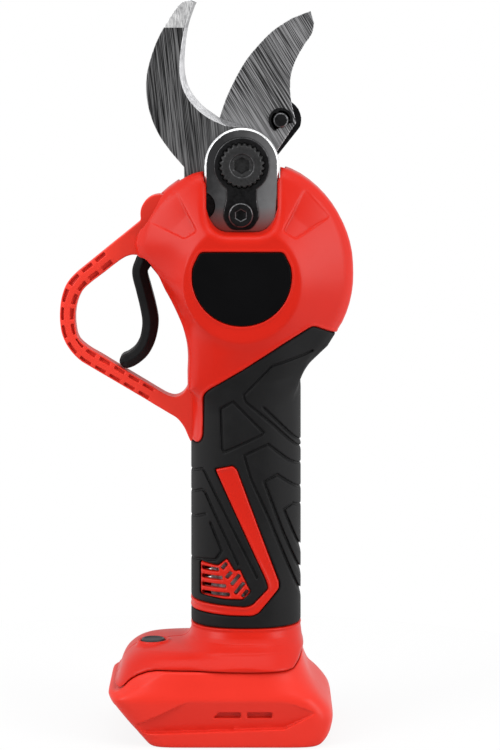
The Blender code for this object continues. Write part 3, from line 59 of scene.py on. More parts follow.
# Places that several pieces share, in millimetres
PIVOT_X = 15.2
PIVOT_Z = 245.3
TRIGGER_X = -22.0
TRIGGER_Z = 209.0
HANDLE_X = 16.9
GRIP_BOTTOM = 48.4
BUTTON_X = -23.2
BUTTON_Y = -6.8
BUTTON_PAD = 40.3
SKIN = 1.6
WALL = 3.4
HEAD_DEPTH = 26.0
HEAD_MIDDLE_Z = 196.0
BADGE_MIDDLE_Z = 199.2
HUB_R = 15.8
FIXED_FRONT = -7.8
FIXED_BACK = -3.2
MOVING_FRONT = -3.0
MOVING_BACK = 0.5
BRIDGE_FRONT = -13.2
BRIDGE_BACK = -8.0
PLATE_FRONT = -16.2
PLATE_BACK = -13.4
ARM_BACK = 5.2
FRAME_FRONT = 12.3
FRAME_BACK = 17.0


class Half(Enum):
    """Side of the parting plane, with the sign of its Y."""

    FRONT = -1
    REAR = 1


class Brush(Enum):
    """Way in which a blade is brushed, in degrees from level."""

    UPRIGHT = 96.0
    SLANTED = -58.0
    LEVEL = 4.0


class Value:
    """A number in a material's nodes that takes part in Python arithmetic."""

    def __init__(self, graph: "Graph", socket: bpy.types.NodeSocket) -> None:
        """Hold one output socket of the graph."""
        self.graph = graph
        self.socket = socket

    def _math(self, operation: str, first: Any, second: Any) -> "Value":
        """Add a Math node.

        Args:
            operation: The node's operation.
            first: Left operand.
            second: Right operand.

        Returns:
            The node's result.
        """
        return self.graph.node("ShaderNodeMath", {"operation": operation}, {0: first, 1: second})

    def __add__(self, other: Any) -> "Value":
        """Sum."""
        return self._math("ADD", self, other)

    __radd__ = __add__

    def __sub__(self, other: Any) -> "Value":
        """Difference."""
        return self._math("SUBTRACT", self, other)

    def __rsub__(self, other: Any) -> "Value":
        """Difference from a number."""
        return self._math("SUBTRACT", other, self)

    def __mul__(self, other: Any) -> "Value":
        """Product."""
        return self._math("MULTIPLY", self, other)

    __rmul__ = __mul__


Feed = Union[Value, float, Sequence[float]]


class Graph:
    """Node tree of one material round a Principled shader."""

    def __init__(self, name: str) -> None:
        """Start an empty material.

        Args:
            name: The material's name.
        """
        self.material = bpy.data.materials.new(name)
        self.material.use_nodes = True
        self.tree = self.material.node_tree
        self.tree.nodes.clear()
        self.output = self.tree.nodes.new("ShaderNodeOutputMaterial")
        self.shader = self.tree.nodes.new("ShaderNodeBsdfPrincipled")
        self.tree.links.new(self.shader.outputs[0], self.output.inputs[0])

    def _feed(self, socket: bpy.types.NodeSocket, value: Feed) -> None:
        """Link a value to a socket, or set it there.

        Args:
            socket: The input.
            value: Value or link.
        """
        if isinstance(value, Value):
            self.tree.links.new(value.socket, socket)
        else:
            socket.default_value = value

    def node(self, kind: str, settings: dict[str, Any], sockets: dict[Any, Feed], out: Any = 0) -> Value:
        """Add any node.

        Args:
            kind: Blender's name for the node's type.
            settings: Its properties, or the stops of a ramp, set first.
            sockets: Values or links of its inputs, by name or number.
            out: Name or number of the output to return.

        Returns:
            That output.
        """
        made = self.tree.nodes.new(kind)
        for key, value in settings.items():
            if key == "stops":
                ramp = made.color_ramp
                for place, _ in value[2:]:
                    ramp.elements.new(min(place, 0.999))
                for element, (place, shade) in zip(ramp.elements, sorted(value)):
                    element.position = place
                    element.color = (shade, shade, shade, 1.0)
            else:
                setattr(made, key, value)
        for key, value in sockets.items():
            self._feed(made.inputs[key], value)
        return Value(self, made.outputs[out])

    def place(self, scale: Sequence[float] = (1.0, 1.0, 1.0), turn: float = 0.0) -> Value:
        """Object coordinates.

        Args:
            scale: Factors along the turned axes.
            turn: Angle about Y in degrees, so that the first axis lies along a brush line.

        Returns:
            The mapped coordinates.
        """
        here = self.node("ShaderNodeTexCoord", {}, {}, "Object")
        lean = (0.0, math.radians(turn), 0.0)
        turned = self.node("ShaderNodeMapping", {}, {"Vector": here, "Rotation": lean})
        return self.node("ShaderNodeMapping", {}, {"Vector": turned, "Scale": tuple(scale)})

    def noise(self, vector: Value, scale: float, detail: float = 3.0, rough: float = 0.55) -> Value:
        """Noise.

        Args:
            vector: Coordinates.
            scale: Cells to a metre.
            detail: Octaves.
            rough: Strength of the finer octaves.

        Returns:
            Noise about a half.
        """
        sockets: dict[Any, Feed] = {"Vector": vector, "Scale": scale, "Detail": detail, "Roughness": rough}
        return self.node("ShaderNodeTexNoise", {}, sockets, 0)

    def ramp(self, value: Value, *stops: Point) -> Value:
        """Curve a value through stops of (place, result)."""
        return self.node("ShaderNodeValToRGB", {"stops": list(stops)}, {0: value})

    def tint(self, factor: Feed, low: Colour, high: Colour) -> Value:
        """Colour between two others."""
        settings = {"data_type": "RGBA"}
        return self.node("ShaderNodeMix", settings, {0: factor, 6: (*low, 1.0), 7: (*high, 1.0)}, 2)

    def mix(self, factor: Feed, low: Value, high: Colour) -> Value:
        """Colour between a varying one and a fixed one."""
        return self.node("ShaderNodeMix", {"data_type": "RGBA"}, {0: factor, 6: low, 7: (*high, 1.0)}, 2)

    def from_pivot(self, here: Value) -> Value:
        """Distance in metres from the blades' pivot."""
        pivot = (PIVOT_X * MM, FIXED_FRONT * MM, PIVOT_Z * MM)
        return self.node("ShaderNodeVectorMath", {"operation": "DISTANCE"}, {0: here, 1: pivot}, "Value")

    def bump(self, height: Value, strength: float, distance: float) -> Value:
        """Normal that shows small relief.

        Args:
            height: Relief from 0 to 1.
            strength: Share of it that shows.
            distance: Metres from 0 to 1.

        Returns:
            The normal.
        """
        sockets: dict[Any, Feed] = {"Strength": strength, "Distance": distance, "Height": height}
        return self.node("ShaderNodeBump", {}, sockets)

    def finish(self, **sockets: Feed) -> bpy.types.Material:
        """Feed the shader.

        Args:
            sockets: Its inputs, with _ for spaces.

        Returns:
            The material.
        """
        for key, value in sockets.items():
            self._feed(self.shader.inputs[key.replace("_", " ")], value)
        return self.material


class Sky(Graph):
    """Node tree of the scene's surroundings."""

    def __init__(self, name: str) -> None:
        """Start an empty world and give it to the scene.

        Args:
            name: The world's name.
        """
        world = bpy.data.worlds.new(name)
        world.use_nodes = True
        self.tree = world.node_tree
        self.tree.nodes.clear()
        self.output = self.tree.nodes.new("ShaderNodeOutputWorld")
        self.shader = self.tree.nodes.new("ShaderNodeBackground")
        self.tree.links.new(self.shader.outputs[0], self.output.inputs[0])
        bpy.context.scene.world = world

    def finish(self, strength: Value) -> None:
        """White light of a varying strength."""
        self._feed(self.shader.inputs[0], (1.0, 1.0, 1.0, 1.0))
        self._feed(self.shader.inputs[1], strength)


@dataclass(frozen=True)
class Finish:
    """A surface finish, made into a material once."""

    name: str

    def nodes(self, graph: Graph) -> bpy.types.Material:
        """Build the finish in the graph."""
        raise NotImplementedError

    def material(self) -> bpy.types.Material:
        """The material, made on first use."""
        full = f"{self.name}_finish"
        return bpy.data.materials.get(full) or self.nodes(Graph(full))


@dataclass(frozen=True)
class MouldedPlastic(Finish):
    """Satin moulding with a fine spark-eroded grain."""

    colour: Colour = (0.55, 0.0135, 0.0048)
    deep: Colour = (0.49, 0.0105, 0.0038)
    rough: float = 0.34
    grain: float = 0.10

    def nodes(self, graph: Graph) -> bpy.types.Material:
        """Cloudy colour, uneven gloss and grain.

        Args:
            graph: Graph of the material.

        Returns:
            The material.
        """
        here = graph.place()
        cloud = graph.noise(here, 38.0, 2.0)
        grain = graph.noise(here, 3200.0, 2.0)
        scuff = graph.ramp(graph.noise(here, 210.0, 5.0, 0.7), (0.55, 0.0), (0.8, 1.0))
        gloss = (cloud - 0.5) * 0.10 + scuff * 0.07 + (grain - 0.5) * 0.06 + self.rough
        return graph.finish(
            Base_Color=graph.tint(cloud, self.deep, self.colour),
            Roughness=gloss,
            Normal=graph.bump(grain, self.grain, 0.00006),
            Specular_IOR_Level=0.17,
        )


@dataclass(frozen=True)
class SoftRubber(Finish):
    """Matt overmoulded rubber."""

    colour: Colour = (0.004, 0.004, 0.0043)
    dusty: Colour = (0.010, 0.010, 0.0105)
    rough: float = 0.58

    def nodes(self, graph: Graph) -> bpy.types.Material:
        """Pebbled grain with a dusting of lighter wear.

        Args:
            graph: Graph of the material.

        Returns:
            The material.
        """
        here = graph.place()
        cloud = graph.ramp(graph.noise(here, 70.0, 4.0, 0.65), (0.35, 0.0), (0.75, 1.0))
        pebble = graph.node("ShaderNodeTexVoronoi", {}, {"Vector": here, "Scale": 2300.0}, "Distance")
        grain = graph.noise(here, 5200.0, 2.0)
        return graph.finish(
            Base_Color=graph.tint(cloud * 0.55, self.colour, self.dusty),
            Roughness=cloud * 0.10 + grain * 0.08 + (self.rough - 0.06),
            Normal=graph.bump(pebble * 0.7 + grain * 0.3, 0.22, 0.00008),
            Specular_IOR_Level=0.15,
        )


@dataclass(frozen=True)
class BrushedSteel(Finish):
    """Blade steel with brush lines in one way."""

    way: Brush = Brush.UPRIGHT
    dark: Colour = (0.008, 0.008, 0.0085)
    light: Colour = (0.30, 0.30, 0.305)
    rough: float = 0.48
    # heel is the strength of the painted sheen round the pivot, spread how fast it fades.
    heel: float = 0.3
    spread: float = 110.0

    def nodes(self, graph: Graph) -> bpy.types.Material:
        """Long streaks, coarse and fine, over broad clouds, with a painted paler sheen round the pivot.

        Args:
            graph: Graph of the material.

        Returns:
            The material.
        """
        along = graph.place((50.0, 3700.0, 3700.0), self.way.value)
        broad = graph.place((18.0, 2300.0, 2300.0), self.way.value)
        fine = graph.noise(along, 1.0, 1.0, 0.5)
        band = graph.noise(broad, 1.0, 0.0, 0.5)
        here = graph.place()
        cloud = graph.noise(here, 42.0, 3.0)
        streak = fine * 0.6 + band * 0.4
        shade = graph.ramp(streak, (0.42, 0.0), (0.5, 0.3), (0.58, 1.0))
        # Painted sheen: paler tone near the pivot, fading outwards.
        heel = graph.ramp((graph.from_pivot(here) - 0.0165) * self.spread, (0.0, 1.0), (0.4, 0.4), (1.0, 0.0))
        level = shade * 0.85 + (cloud - 0.5) * 0.22 + heel * self.heel + 0.02
        return graph.finish(
            Base_Color=graph.tint(level, self.dark, self.light),
            Metallic=1.0,
            Roughness=(1.0 - streak) * 0.22 + (self.rough - 0.11),
            Normal=graph.bump(streak, 0.35, 0.00005),
        )


@dataclass(frozen=True)
class GroundSteel(Finish):
    """Bright ground or turned steel."""

    light: Colour = (0.86, 0.87, 0.88)
    dark: Colour = (0.60, 0.61, 0.63)
    way: Brush = Brush.LEVEL
    rough: float = 0.24

    def nodes(self, graph: Graph) -> bpy.types.Material:
        """Fine grinding lines.

        Args:
            graph: Graph of the material.

        Returns:
            The material.
        """
        line = graph.noise(graph.place((45.0, 2300.0, 2300.0), self.way.value), 1.0, 3.0)
        cloud = graph.noise(graph.place(), 160.0, 3.0)
        shade = graph.ramp(line * 0.7 + cloud * 0.3, (0.38, 0.0), (0.62, 1.0))
        return graph.finish(
            Base_Color=graph.tint(shade, self.dark, self.light),
            Metallic=1.0,
            Roughness=line * 0.14 + cloud * 0.06 + (self.rough - 0.10),
            Normal=graph.bump(line, 0.18, 0.00003),
        )


@dataclass(frozen=True)
class BossSteel(Finish):
    """Turned boss with painted shade at its upper left, painted light at its lower right and a painted red
    reflection near its lower end.
    """

    light: Colour = (0.46, 0.46, 0.47)
    dark: Colour = (0.035, 0.035, 0.037)
    # Colour of the painted reflection of the red housing.
    red_reflection: Colour = (0.42, 0.035, 0.022)
    rough: float = 0.22

    def nodes(self, graph: Graph) -> bpy.types.Material:
        """Fine turning lines over painted shade that turns to painted light towards the lower right, with a
        painted red reflection low down.

        Args:
            graph: Graph of the material.

        Returns:
            The material.
        """
        here = graph.place()
        across = graph.node("ShaderNodeSeparateXYZ", {}, {0: here}, "X") - PIVOT_X * MM
        height = graph.node("ShaderNodeSeparateXYZ", {}, {0: here}, "Z") - PIVOT_Z * MM
        cloud = graph.noise(here, 240.0, 4.0, 0.6)
        turned = graph.node("ShaderNodeCombineXYZ", {}, {0: graph.from_pivot(here) * 2600.0})
        line = graph.noise(turned, 1.0, 2.0)
        # Painted light and shade: dark at the upper left, paler towards the lower right.
        lean = across * 32.0 - height * 9.0 + (cloud - 0.5) * 0.4
        rise = graph.ramp(lean + 0.36, (0.0, 0.0), (1.0, 1.0))
        steel = graph.tint(rise * 0.8 + line * 0.2, self.dark, self.light)
        # Painted reflection of the red housing, stronger towards the boss's lower end.
        red_reflection = graph.ramp(height * -112.0 - 1.97 + (cloud - 0.5) * 0.3, (0.0, 0.0), (1.0, 0.8))
        return graph.finish(
            Base_Color=graph.mix(red_reflection, steel, self.red_reflection),
            Metallic=1.0,
            Roughness=line * 0.10 + cloud * 0.10 + (self.rough - 0.08),
            Normal=graph.bump(line, 0.15, 0.00003),
        )


@dataclass(frozen=True)
class BlackenedSteel(Finish):
    """Oil-blackened steel, rubbed bright in places."""

    black: Colour = (0.004, 0.004, 0.0043)
    rubbed: Colour = (0.045, 0.045, 0.047)
    wear: float = 0.22
    rough: float = 0.44

    def nodes(self, graph: Graph) -> bpy.types.Material:
        """Mottled film with rubbed spots.

        Args:
            graph: Graph of the material.

        Returns:
            The material.
        """
        here = graph.place()
        mottle = graph.noise(here, 900.0, 4.0, 0.7)
        patch = graph.noise(here, 260.0, 3.0)
        rub = graph.ramp(mottle * 0.6 + patch * 0.4, (0.60 - self.wear, 0.0), (0.86 - self.wear, 1.0))
        return graph.finish(
            Base_Color=graph.tint(rub * (0.25 + self.wear), self.black, self.rubbed),
            Metallic=rub * 0.35 + 0.55,
            Roughness=(1.0 - rub) * 0.14 + mottle * 0.10 + (self.rough - 0.12),
            Normal=graph.bump(mottle, 0.20, 0.00006),
            Specular_IOR_Level=0.15,
        )


@dataclass(frozen=True)
class GlossPlate(Finish):
    """Bare gloss black plate with faint hairlines."""

    colour: Colour = (0.002, 0.002, 0.0022)
    rough: float = 0.16

    def nodes(self, graph: Graph) -> bpy.types.Material:
        """Deep gloss, slightly uneven, with a few hairlines.

        Args:
            graph: Graph of the material.

        Returns:
            The material.
        """
        here = graph.place()
        cloud = graph.noise(here, 60.0, 3.0)
        hair = graph.noise(graph.place((60.0, 4200.0, 4200.0), 27.0), 1.0, 2.0)
        line = graph.ramp(hair, (0.68, 0.0), (0.76, 1.0))
        return graph.finish(
            Base_Color=graph.tint(cloud * 0.6 + line * 0.2, self.colour, (0.005, 0.005, 0.0055)),
            Roughness=cloud * 0.08 + line * 0.10 + (self.rough - 0.04),
            Normal=graph.bump(cloud, 0.04, 0.0003),
            Specular_IOR_Level=0.05,
        )


@dataclass(frozen=True)
class BlackPlastic(Finish):
    """Matt black moulding."""

    colour: Colour = (0.004, 0.004, 0.0043)
    pale: Colour = (0.010, 0.010, 0.0105)
    rough: float = 0.44

    def nodes(self, graph: Graph) -> bpy.types.Material:
        """Fine grain and faint rubbing.

        Args:
            graph: Graph of the material.

        Returns:
            The material.
        """
        here = graph.place()
        cloud = graph.noise(here, 120.0, 4.0, 0.6)
        grain = graph.noise(here, 3600.0, 2.0)
        return graph.finish(
            Base_Color=graph.tint(cloud, self.colour, self.pale),
            Roughness=cloud * 0.12 + grain * 0.08 + (self.rough - 0.10),
            Normal=graph.bump(grain, 0.16, 0.00007),
            Specular_IOR_Level=0.12,
        )


@dataclass(frozen=True)
class CastMetal(Finish):
    """Cast or drawn metal with a grainy skin."""

    light: Colour = (0.62, 0.62, 0.64)
    dark: Colour = (0.40, 0.40, 0.42)
    rough: float = 0.42
    grain: float = 1600.0
    metal: float = 1.0

    def nodes(self, graph: Graph) -> bpy.types.Material:
        """Speckled skin with cloudy tone.

        Args:
            graph: Graph of the material.

        Returns:
            The material.
        """
        here = graph.place()
        cloud = graph.noise(here, 90.0, 4.0, 0.6)
        speck = graph.noise(here, self.grain, 3.0, 0.6)
        return graph.finish(
            Base_Color=graph.tint(cloud * 0.6 + speck * 0.4, self.dark, self.light),
            Metallic=self.metal,
            Roughness=speck * 0.16 + cloud * 0.08 + (self.rough - 0.12),
            Normal=graph.bump(speck, 0.25, 0.00008),
        )


@dataclass(frozen=True)
class CircuitBoard(Finish):
    """Lacquered board with tracks under the mask."""

    mask: Colour = (0.008, 0.055, 0.035)
    track: Colour = (0.02, 0.13, 0.07)

    def nodes(self, graph: Graph) -> bpy.types.Material:
        """Checked tracks under a glossy mask.

        Args:
            graph: Graph of the material.

        Returns:
            The material.
        """
        here = graph.place((1.0, 1.0, 1.0))
        square = {"distance": "MANHATTAN"}
        cells = graph.node("ShaderNodeTexVoronoi", square, {"Vector": here, "Scale": 420.0}, 0)
        tracks = graph.ramp(cells, (0.25, 1.0), (0.36, 0.0))
        return graph.finish(
            Base_Color=graph.tint(tracks, self.mask, self.track),
            Roughness=tracks * 0.12 + 0.26,
            Normal=graph.bump(tracks, 0.2, 0.00005),
        )


@dataclass(frozen=True)
class Winding(Finish):
    """Copper alloy with wire or rolling lines."""

    bright: Colour = (0.72, 0.34, 0.15)
    dull: Colour = (0.36, 0.15, 0.06)

    def nodes(self, graph: Graph) -> bpy.types.Material:
        """Fine level lines under a dull film.

        Args:
            graph: Graph of the material.

        Returns:
            The material.
        """
        line = graph.noise(graph.place((90.0, 90.0, 2600.0)), 1.0, 2.0)
        film = graph.noise(graph.place(), 200.0, 4.0)
        return graph.finish(
            Base_Color=graph.tint(line * 0.5 + film * 0.5, self.dull, self.bright),
            Metallic=1.0,
            Roughness=film * 0.2 + 0.22,
            Normal=graph.bump(line, 0.3, 0.00008),
        )


@dataclass(frozen=True)
class PaleFloor(Finish):
    """Seamless studio paper."""

    colour: Colour = (0.60, 0.60, 0.605)

    def nodes(self, graph: Graph) -> bpy.types.Material:
        """Even pale paper with a faint tooth, lit up from behind.

        Args:
            graph: Graph of the material.

        Returns:
            The material.
        """
        tooth = graph.noise(graph.place(), 700.0, 3.0)
        seen = graph.node("ShaderNodeLightPath", {}, {}, "Is Camera Ray")
        glow = graph.node("ShaderNodeEmission", {}, {"Color": (1.0, 1.0, 1.0, 1.0), "Strength": 1.02})
        paper = Value(graph, graph.shader.outputs[0])
        lit = graph.node("ShaderNodeMixShader", {}, {0: seen * 0.85, 1: paper, 2: glow})
        graph.tree.links.new(lit.socket, graph.output.inputs[0])
        return graph.finish(
            Base_Color=graph.tint(tooth, self.colour, (0.62, 0.62, 0.62)),
            Roughness=tooth * 0.1 + 0.75,
        )


RED = MouldedPlastic("red_shell")
# Lighter copy of the red moulding for the guard loop: painted light.
PAINTED_LIGHT_GUARD_RED = MouldedPlastic("red_guard_painted_light", (0.74, 0.042, 0.026), (0.66, 0.034, 0.020))
# Lighter, paler copy of the red moulding for the battery foot: painted light and sheen.
PAINTED_LIGHT_FOOT_RED = MouldedPlastic("red_foot_painted_light", (0.64, 0.027, 0.015), (0.58, 0.022, 0.012))
RUBBER = SoftRubber("grip_rubber")
FIXED_STEEL = BrushedSteel("fixed_blade_steel", Brush.UPRIGHT)
# The moving blade's last two numbers give a stronger, wider-reaching painted sheen round the pivot.
MOVING_STEEL = BrushedSteel(
    "moving_blade_steel", Brush.SLANTED, (0.012, 0.012, 0.0124), (0.46, 0.46, 0.47), 0.5, 0.45, 58.0
)
GROUND = GroundSteel("ground_tip", (0.88, 0.88, 0.88), (0.42, 0.42, 0.43), Brush.UPRIGHT, 0.46)
BEVEL = GroundSteel("ground_edge", (0.66, 0.66, 0.67), (0.36, 0.36, 0.37), Brush.UPRIGHT, 0.42)
TIP_EDGE = GroundSteel("tip_edge", (0.50, 0.50, 0.50), (0.26, 0.26, 0.27), Brush.UPRIGHT, 0.46)
BOSS = BossSteel("bridge_steel")
CHAMFER = GroundSteel("bridge_chamfer", (0.80, 0.80, 0.81), (0.55, 0.55, 0.56), Brush.LEVEL, 0.3)
BLACK = BlackenedSteel("black_steel")
BOLT = BlackenedSteel("bolt_steel", (0.020, 0.020, 0.0205), (0.10, 0.10, 0.102), 0.24, 0.46)
# Paler blackened steel for painted highlights on rims; its mottled rub spots are wear.
RIM_HIGHLIGHT_AND_RUB = BlackenedSteel("black_steel_rim_highlight_and_rub", (0.02, 0.02, 0.021), (0.16, 0.16, 0.165), 0.24, 0.4)
# Still paler blackened steel for painted highlights on chamfer rings; its mottled rub spots are wear.
BRIGHT_RIM_HIGHLIGHT_AND_WEAR = BlackenedSteel("black_steel_bright_rim_highlight_and_wear", (0.03, 0.03, 0.032), (0.34, 0.34, 0.35), 0.24, 0.36)
BADGE = GlossPlate("badge_gloss")
PLASTIC = BlackPlastic("black_plastic")
BUTTON = BlackPlastic("button_plastic", (0.030, 0.030, 0.032), (0.055, 0.055, 0.058), 0.40)
CAST = CastMetal("cast_aluminium")
BLASTED = CastMetal("blasted_tray", (0.92, 0.92, 0.93), (0.78, 0.78, 0.79), 0.5, 1600.0, 0.25)
DRAWN = CastMetal("drawn_can", (0.55, 0.56, 0.58), (0.36, 0.37, 0.39), 0.32, 2600.0)
MACHINED = GroundSteel("gear_steel", (0.60, 0.60, 0.62), (0.36, 0.36, 0.38), Brush.LEVEL, 0.30)
BOARD = CircuitBoard("circuit_board")
COPPER = Winding("copper")


def from_pivot(points: Sequence[Point]) -> Outline:
    """Points given from the pivot, in the model's own X and Z."""
    return [(PIVOT_X + x, PIVOT_Z + z) for x, z in points]


def from_trigger(points: Sequence[Point]) -> Outline:
    """Points given from the trigger pin, in the model's own X and Z."""
    return [(TRIGGER_X + x, TRIGGER_Z + z) for x, z in points]


def from_grip(points: Sequence[Point]) -> Outline:
    """Points given from the middle of the grip's lower edge."""
    return [(HANDLE_X + x, GRIP_BOTTOM + z) for x, z in points]


def spline(points: Sequence[Point], closed: bool = False, steps: int = 8) -> Outline:
    """Smooth curve through points.

    Args:
        points: Points on the curve.
        closed: Whether the last joins the first.
        steps: Pieces between two points.

    Returns:
        The finer curve, without the first point again when closed.
    """
    at = np.array(points, float)
    if closed:
        at = np.vstack([at[-1:], at, at[:2]])
    knots = np.concatenate([[0.0], np.cumsum(np.linalg.norm(np.diff(at, axis=0), axis=1) ** 0.5)])
    lean = np.gradient(at, knots, axis=0)
    first, last = (1, len(at) - 2) if closed else (0, len(at) - 1)
    t = np.linspace(0.0, 1.0, steps, endpoint=False)[:, None]
    found = []
    for i in range(first, last):
        h = knots[i + 1] - knots[i]
        a = (2 * t**3 - 3 * t**2 + 1) * at[i] + (t**3 - 2 * t**2 + t) * h * lean[i]
        b = (3 * t**2 - 2 * t**3) * at[i + 1] + (t**3 - t**2) * h * lean[i + 1]
        found.extend(map(tuple, a + b))
    if not closed:
        found.append(tuple(at[-1]))
    return [(float(x), float(z)) for x, z in found]


def arc(x: float, z: float, radius: float, start: float, end: float, count: int) -> Outline:
    """Points on a circle from one angle to another, in degrees."""
    turns = np.radians(np.linspace(start, end, count))
    return [(x + radius * math.cos(a), z + radius * math.sin(a)) for a in turns]


def rounded(points: Sequence[Point], radius: float, count: int = 6) -> Outline:
    """Closed outline with its corners rounded.

    Args:
        points: Corners.
        radius: Most that a corner is cut back along its sides.
        count: Points to a corner.

    Returns:
        The rounded outline.
    """
    found: Outline = []
    corners = [Vector(p) for p in points]
    for before, corner, after in zip(corners[-1:] + corners[:-1], corners, corners[1:] + corners[:1]):
        back, ahead = before - corner, after - corner
        one = corner + back.normalized() * min(radius, back.length * 0.48)
        two = corner + ahead.normalized() * min(radius, ahead.length * 0.48)
        for t in np.linspace(0.0, 1.0, count):
            bent = one * (1 - t) ** 2 + corner * (2 * t * (1 - t)) + two * t**2
            found.append((bent.x, bent.y))
    return found


def shrink(outline: Sequence[Point], by: float) -> Outline:
    """Anticlockwise outline moved inwards along its normals.

    Args:
        outline: The outline.
        by: How far it is moved.

    Returns:
        The outline.
    """
    at = np.array(outline, float)
    ahead = np.roll(at, -1, 0) - at
    ahead /= np.maximum(np.linalg.norm(ahead, axis=1, keepdims=True), 1e-9)
    out = np.stack([ahead[:, 1], -ahead[:, 0]], 1)
    both = out + np.roll(out, 1, 0)
    both /= np.maximum((both**2).sum(1, keepdims=True) / 2, 0.35)
    return [(float(x), float(z)) for x, z in at - both * by]


def blend(a: Array, b: Array, radius: float) -> Array:
    """Union of two distances with a fillet of about this radius."""
    near = np.maximum(radius - np.abs(a - b), 0.0) / radius
    return np.minimum(a, b) - near * near * (radius / 4)


def soften(values: Array, cells: int) -> Array:
    """Values evened out along X and Z over some cells.

    Args:
        values: Values on the grid.
        cells: Reach to each side.

    Returns:
        The values.
    """
    kernel = np.ones(2 * cells + 1) / (2 * cells + 1)

    def even(row: Array) -> Array:
        """One row evened out, its ends held."""
        return np.convolve(np.pad(row, cells, "edge"), kernel, "valid")

    for axis in (0, 2, 0, 2):
        values = np.apply_along_axis(even, axis, values)
    return values.astype(np.float32)


def trim(a: Array, b: Array, radius: float) -> Array:
    """Overlap of two distances with its edge rounded by about this radius."""
    near = np.maximum(radius - np.abs(a - b), 0.0) / radius
    return np.maximum(a, b) + near * near * (radius / 4)


@dataclass
class Block:
    """Grid of sample points, in millimetres, in which a moulded form is measured and skinned."""

    low: tuple[float, float, float]
    high: tuple[float, float, float]
    step: float
    xs: Array = field(init=False)
    ys: Array = field(init=False)
    zs: Array = field(init=False)

    def __post_init__(self) -> None:
        """Lay out the axes."""
        self.xs, self.ys, self.zs = (
            np.arange(a, b + self.step, self.step, dtype=np.float32) for a, b in zip(self.low, self.high)
        )

    @property
    def x(self) -> Array:
        """X of the samples, ready to broadcast."""
        return self.xs[:, None, None]

    @property
    def y(self) -> Array:
        """Y of the samples, ready to broadcast."""
        return self.ys[None, :, None]

    @property
    def z(self) -> Array:
        """Z of the samples, ready to broadcast."""
        return self.zs[None, None, :]

    def outline(self, points: Sequence[Point]) -> Array:
        """Distance to a closed outline in X and Z.

        Args:
            points: The outline.

        Returns:
            Distances, negative inside, ready to broadcast.
        """
        x, z = self.xs[:, None], self.zs[None, :]
        best = np.full((len(self.xs), len(self.zs)), 1e9, np.float32)
        inside = np.zeros(best.shape, bool)
        for (ax, az), (bx, bz) in zip(points, [*points[1:], points[0]]):
            ex, ez = bx - ax, bz - az
            t = np.clip(((x - ax) * ex + (z - az) * ez) / max(ex * ex + ez * ez, 1e-9), 0.0, 1.0)
            best = np.minimum(best, (x - ax - ex * t) ** 2 + (z - az - ez * t) ** 2)
            if az != bz:
                inside ^= ((az > z) != (bz > z)) & (x < ax + (z - az) * (ex / ez))
        far = np.sqrt(best)
        return np.where(inside, -far, far)[:, None, :]

    def line(self, points: Sequence[Point]) -> tuple[Array, Array, Array]:
        """Distance to an open line in X and Z.

        Args:
            points: The line.

        Returns:
            Distance, length along the line and side of it (-1 or 1), ready to broadcast.
        """
        x, z = self.xs[:, None], self.zs[None, :]
        best = np.full((len(self.xs), len(self.zs)), 1e9, np.float32)
        along = np.zeros_like(best)
        side = np.ones_like(best)
        run = 0.0
        for (ax, az), (bx, bz) in zip(points, points[1:]):
            ex, ez = bx - ax, bz - az
            size = math.hypot(ex, ez)
            t = np.clip(((x - ax) * ex + (z - az) * ez) / max(size * size, 1e-9), 0.0, 1.0)
            far = (x - ax - ex * t) ** 2 + (z - az - ez * t) ** 2
            nearer = far < best
            best = np.where(nearer, far, best)
            along = np.where(nearer, run + t * size, along)
            side = np.where(nearer, np.sign((x - ax) * ez - (z - az) * ex), side)
            run += size
        return np.sqrt(best)[:, None, :], along[:, None, :], side[:, None, :]

    def round_bar(self, x: float, z: float, radius: float) -> Array:
        """Distance to a round bar along Y."""
        return np.hypot(self.xs[:, None] - x, self.zs[None, :] - z)[:, None, :] - radius

    def skin(self, name: str, distance: Array, most: int = 120_000) -> bpy.types.Object:
        """Closed mesh where the distance is zero.

        Args:
            name: Name of the piece.
            distance: The form.
            most: Triangles to keep.

        Returns:
            The piece.
        """
        solid = np.broadcast_to(distance, (len(self.xs), len(self.ys), len(self.zs))).astype(np.float32)
        solid = np.pad(np.clip(solid, -3 * self.step, 3 * self.step), 1, constant_values=3 * self.step)
        grid = openvdb.FloatGrid(3 * self.step)
        grid.copyFromArray(np.ascontiguousarray(solid))
        points, triangles, quads = grid.convertToPolygons(isovalue=0.0, adaptivity=0.0)
        places = ((points - 1.0) * self.step + np.array(self.low)) * MM
        faces = np.vstack([quads[:, [0, 1, 2]], quads[:, [0, 2, 3]], triangles.reshape(-1, 3)])
        a, b, c = (places[faces[:, i]] for i in range(3))
        if np.einsum("ij,ij->", a, np.cross(b, c)) < 0:
            faces = faces[:, ::-1]
        mesh = bpy.data.meshes.new(name)
        mesh.vertices.add(len(places))
        mesh.vertices.foreach_set("co", places.astype(np.float32).ravel())
        mesh.loops.add(faces.size)
        mesh.loops.foreach_set("vertex_index", faces.astype(np.int32).ravel())
        mesh.polygons.add(len(faces))
        mesh.polygons.foreach_set("loop_start", np.arange(0, faces.size, 3, dtype=np.int32))
        mesh.update(calc_edges=True)
        made = bpy.data.objects.new(name, mesh)
        bpy.context.scene.collection.objects.link(made)
        if len(faces) > most:
            thin = made.modifiers.new("thin", "DECIMATE")
            thin.ratio = most / len(faces)
            bake(made)
        made.data.shade_smooth()
        return made


def bake(piece: bpy.types.Object) -> None:
    """Put a piece's modifiers into its mesh.

    Args:
        piece: The piece.
    """
    graph = bpy.context.evaluated_depsgraph_get()
    baked = bpy.data.meshes.new_from_object(piece.evaluated_get(graph))
    piece.modifiers.clear()
    piece.data = baked
    baked.name = piece.name


Ring = list[tuple[float, float, float]]


def level_ring(outline: Sequence[Point], y: float) -> Ring:
    """An outline at one depth."""
    return [(x, y, z) for x, z in outline]


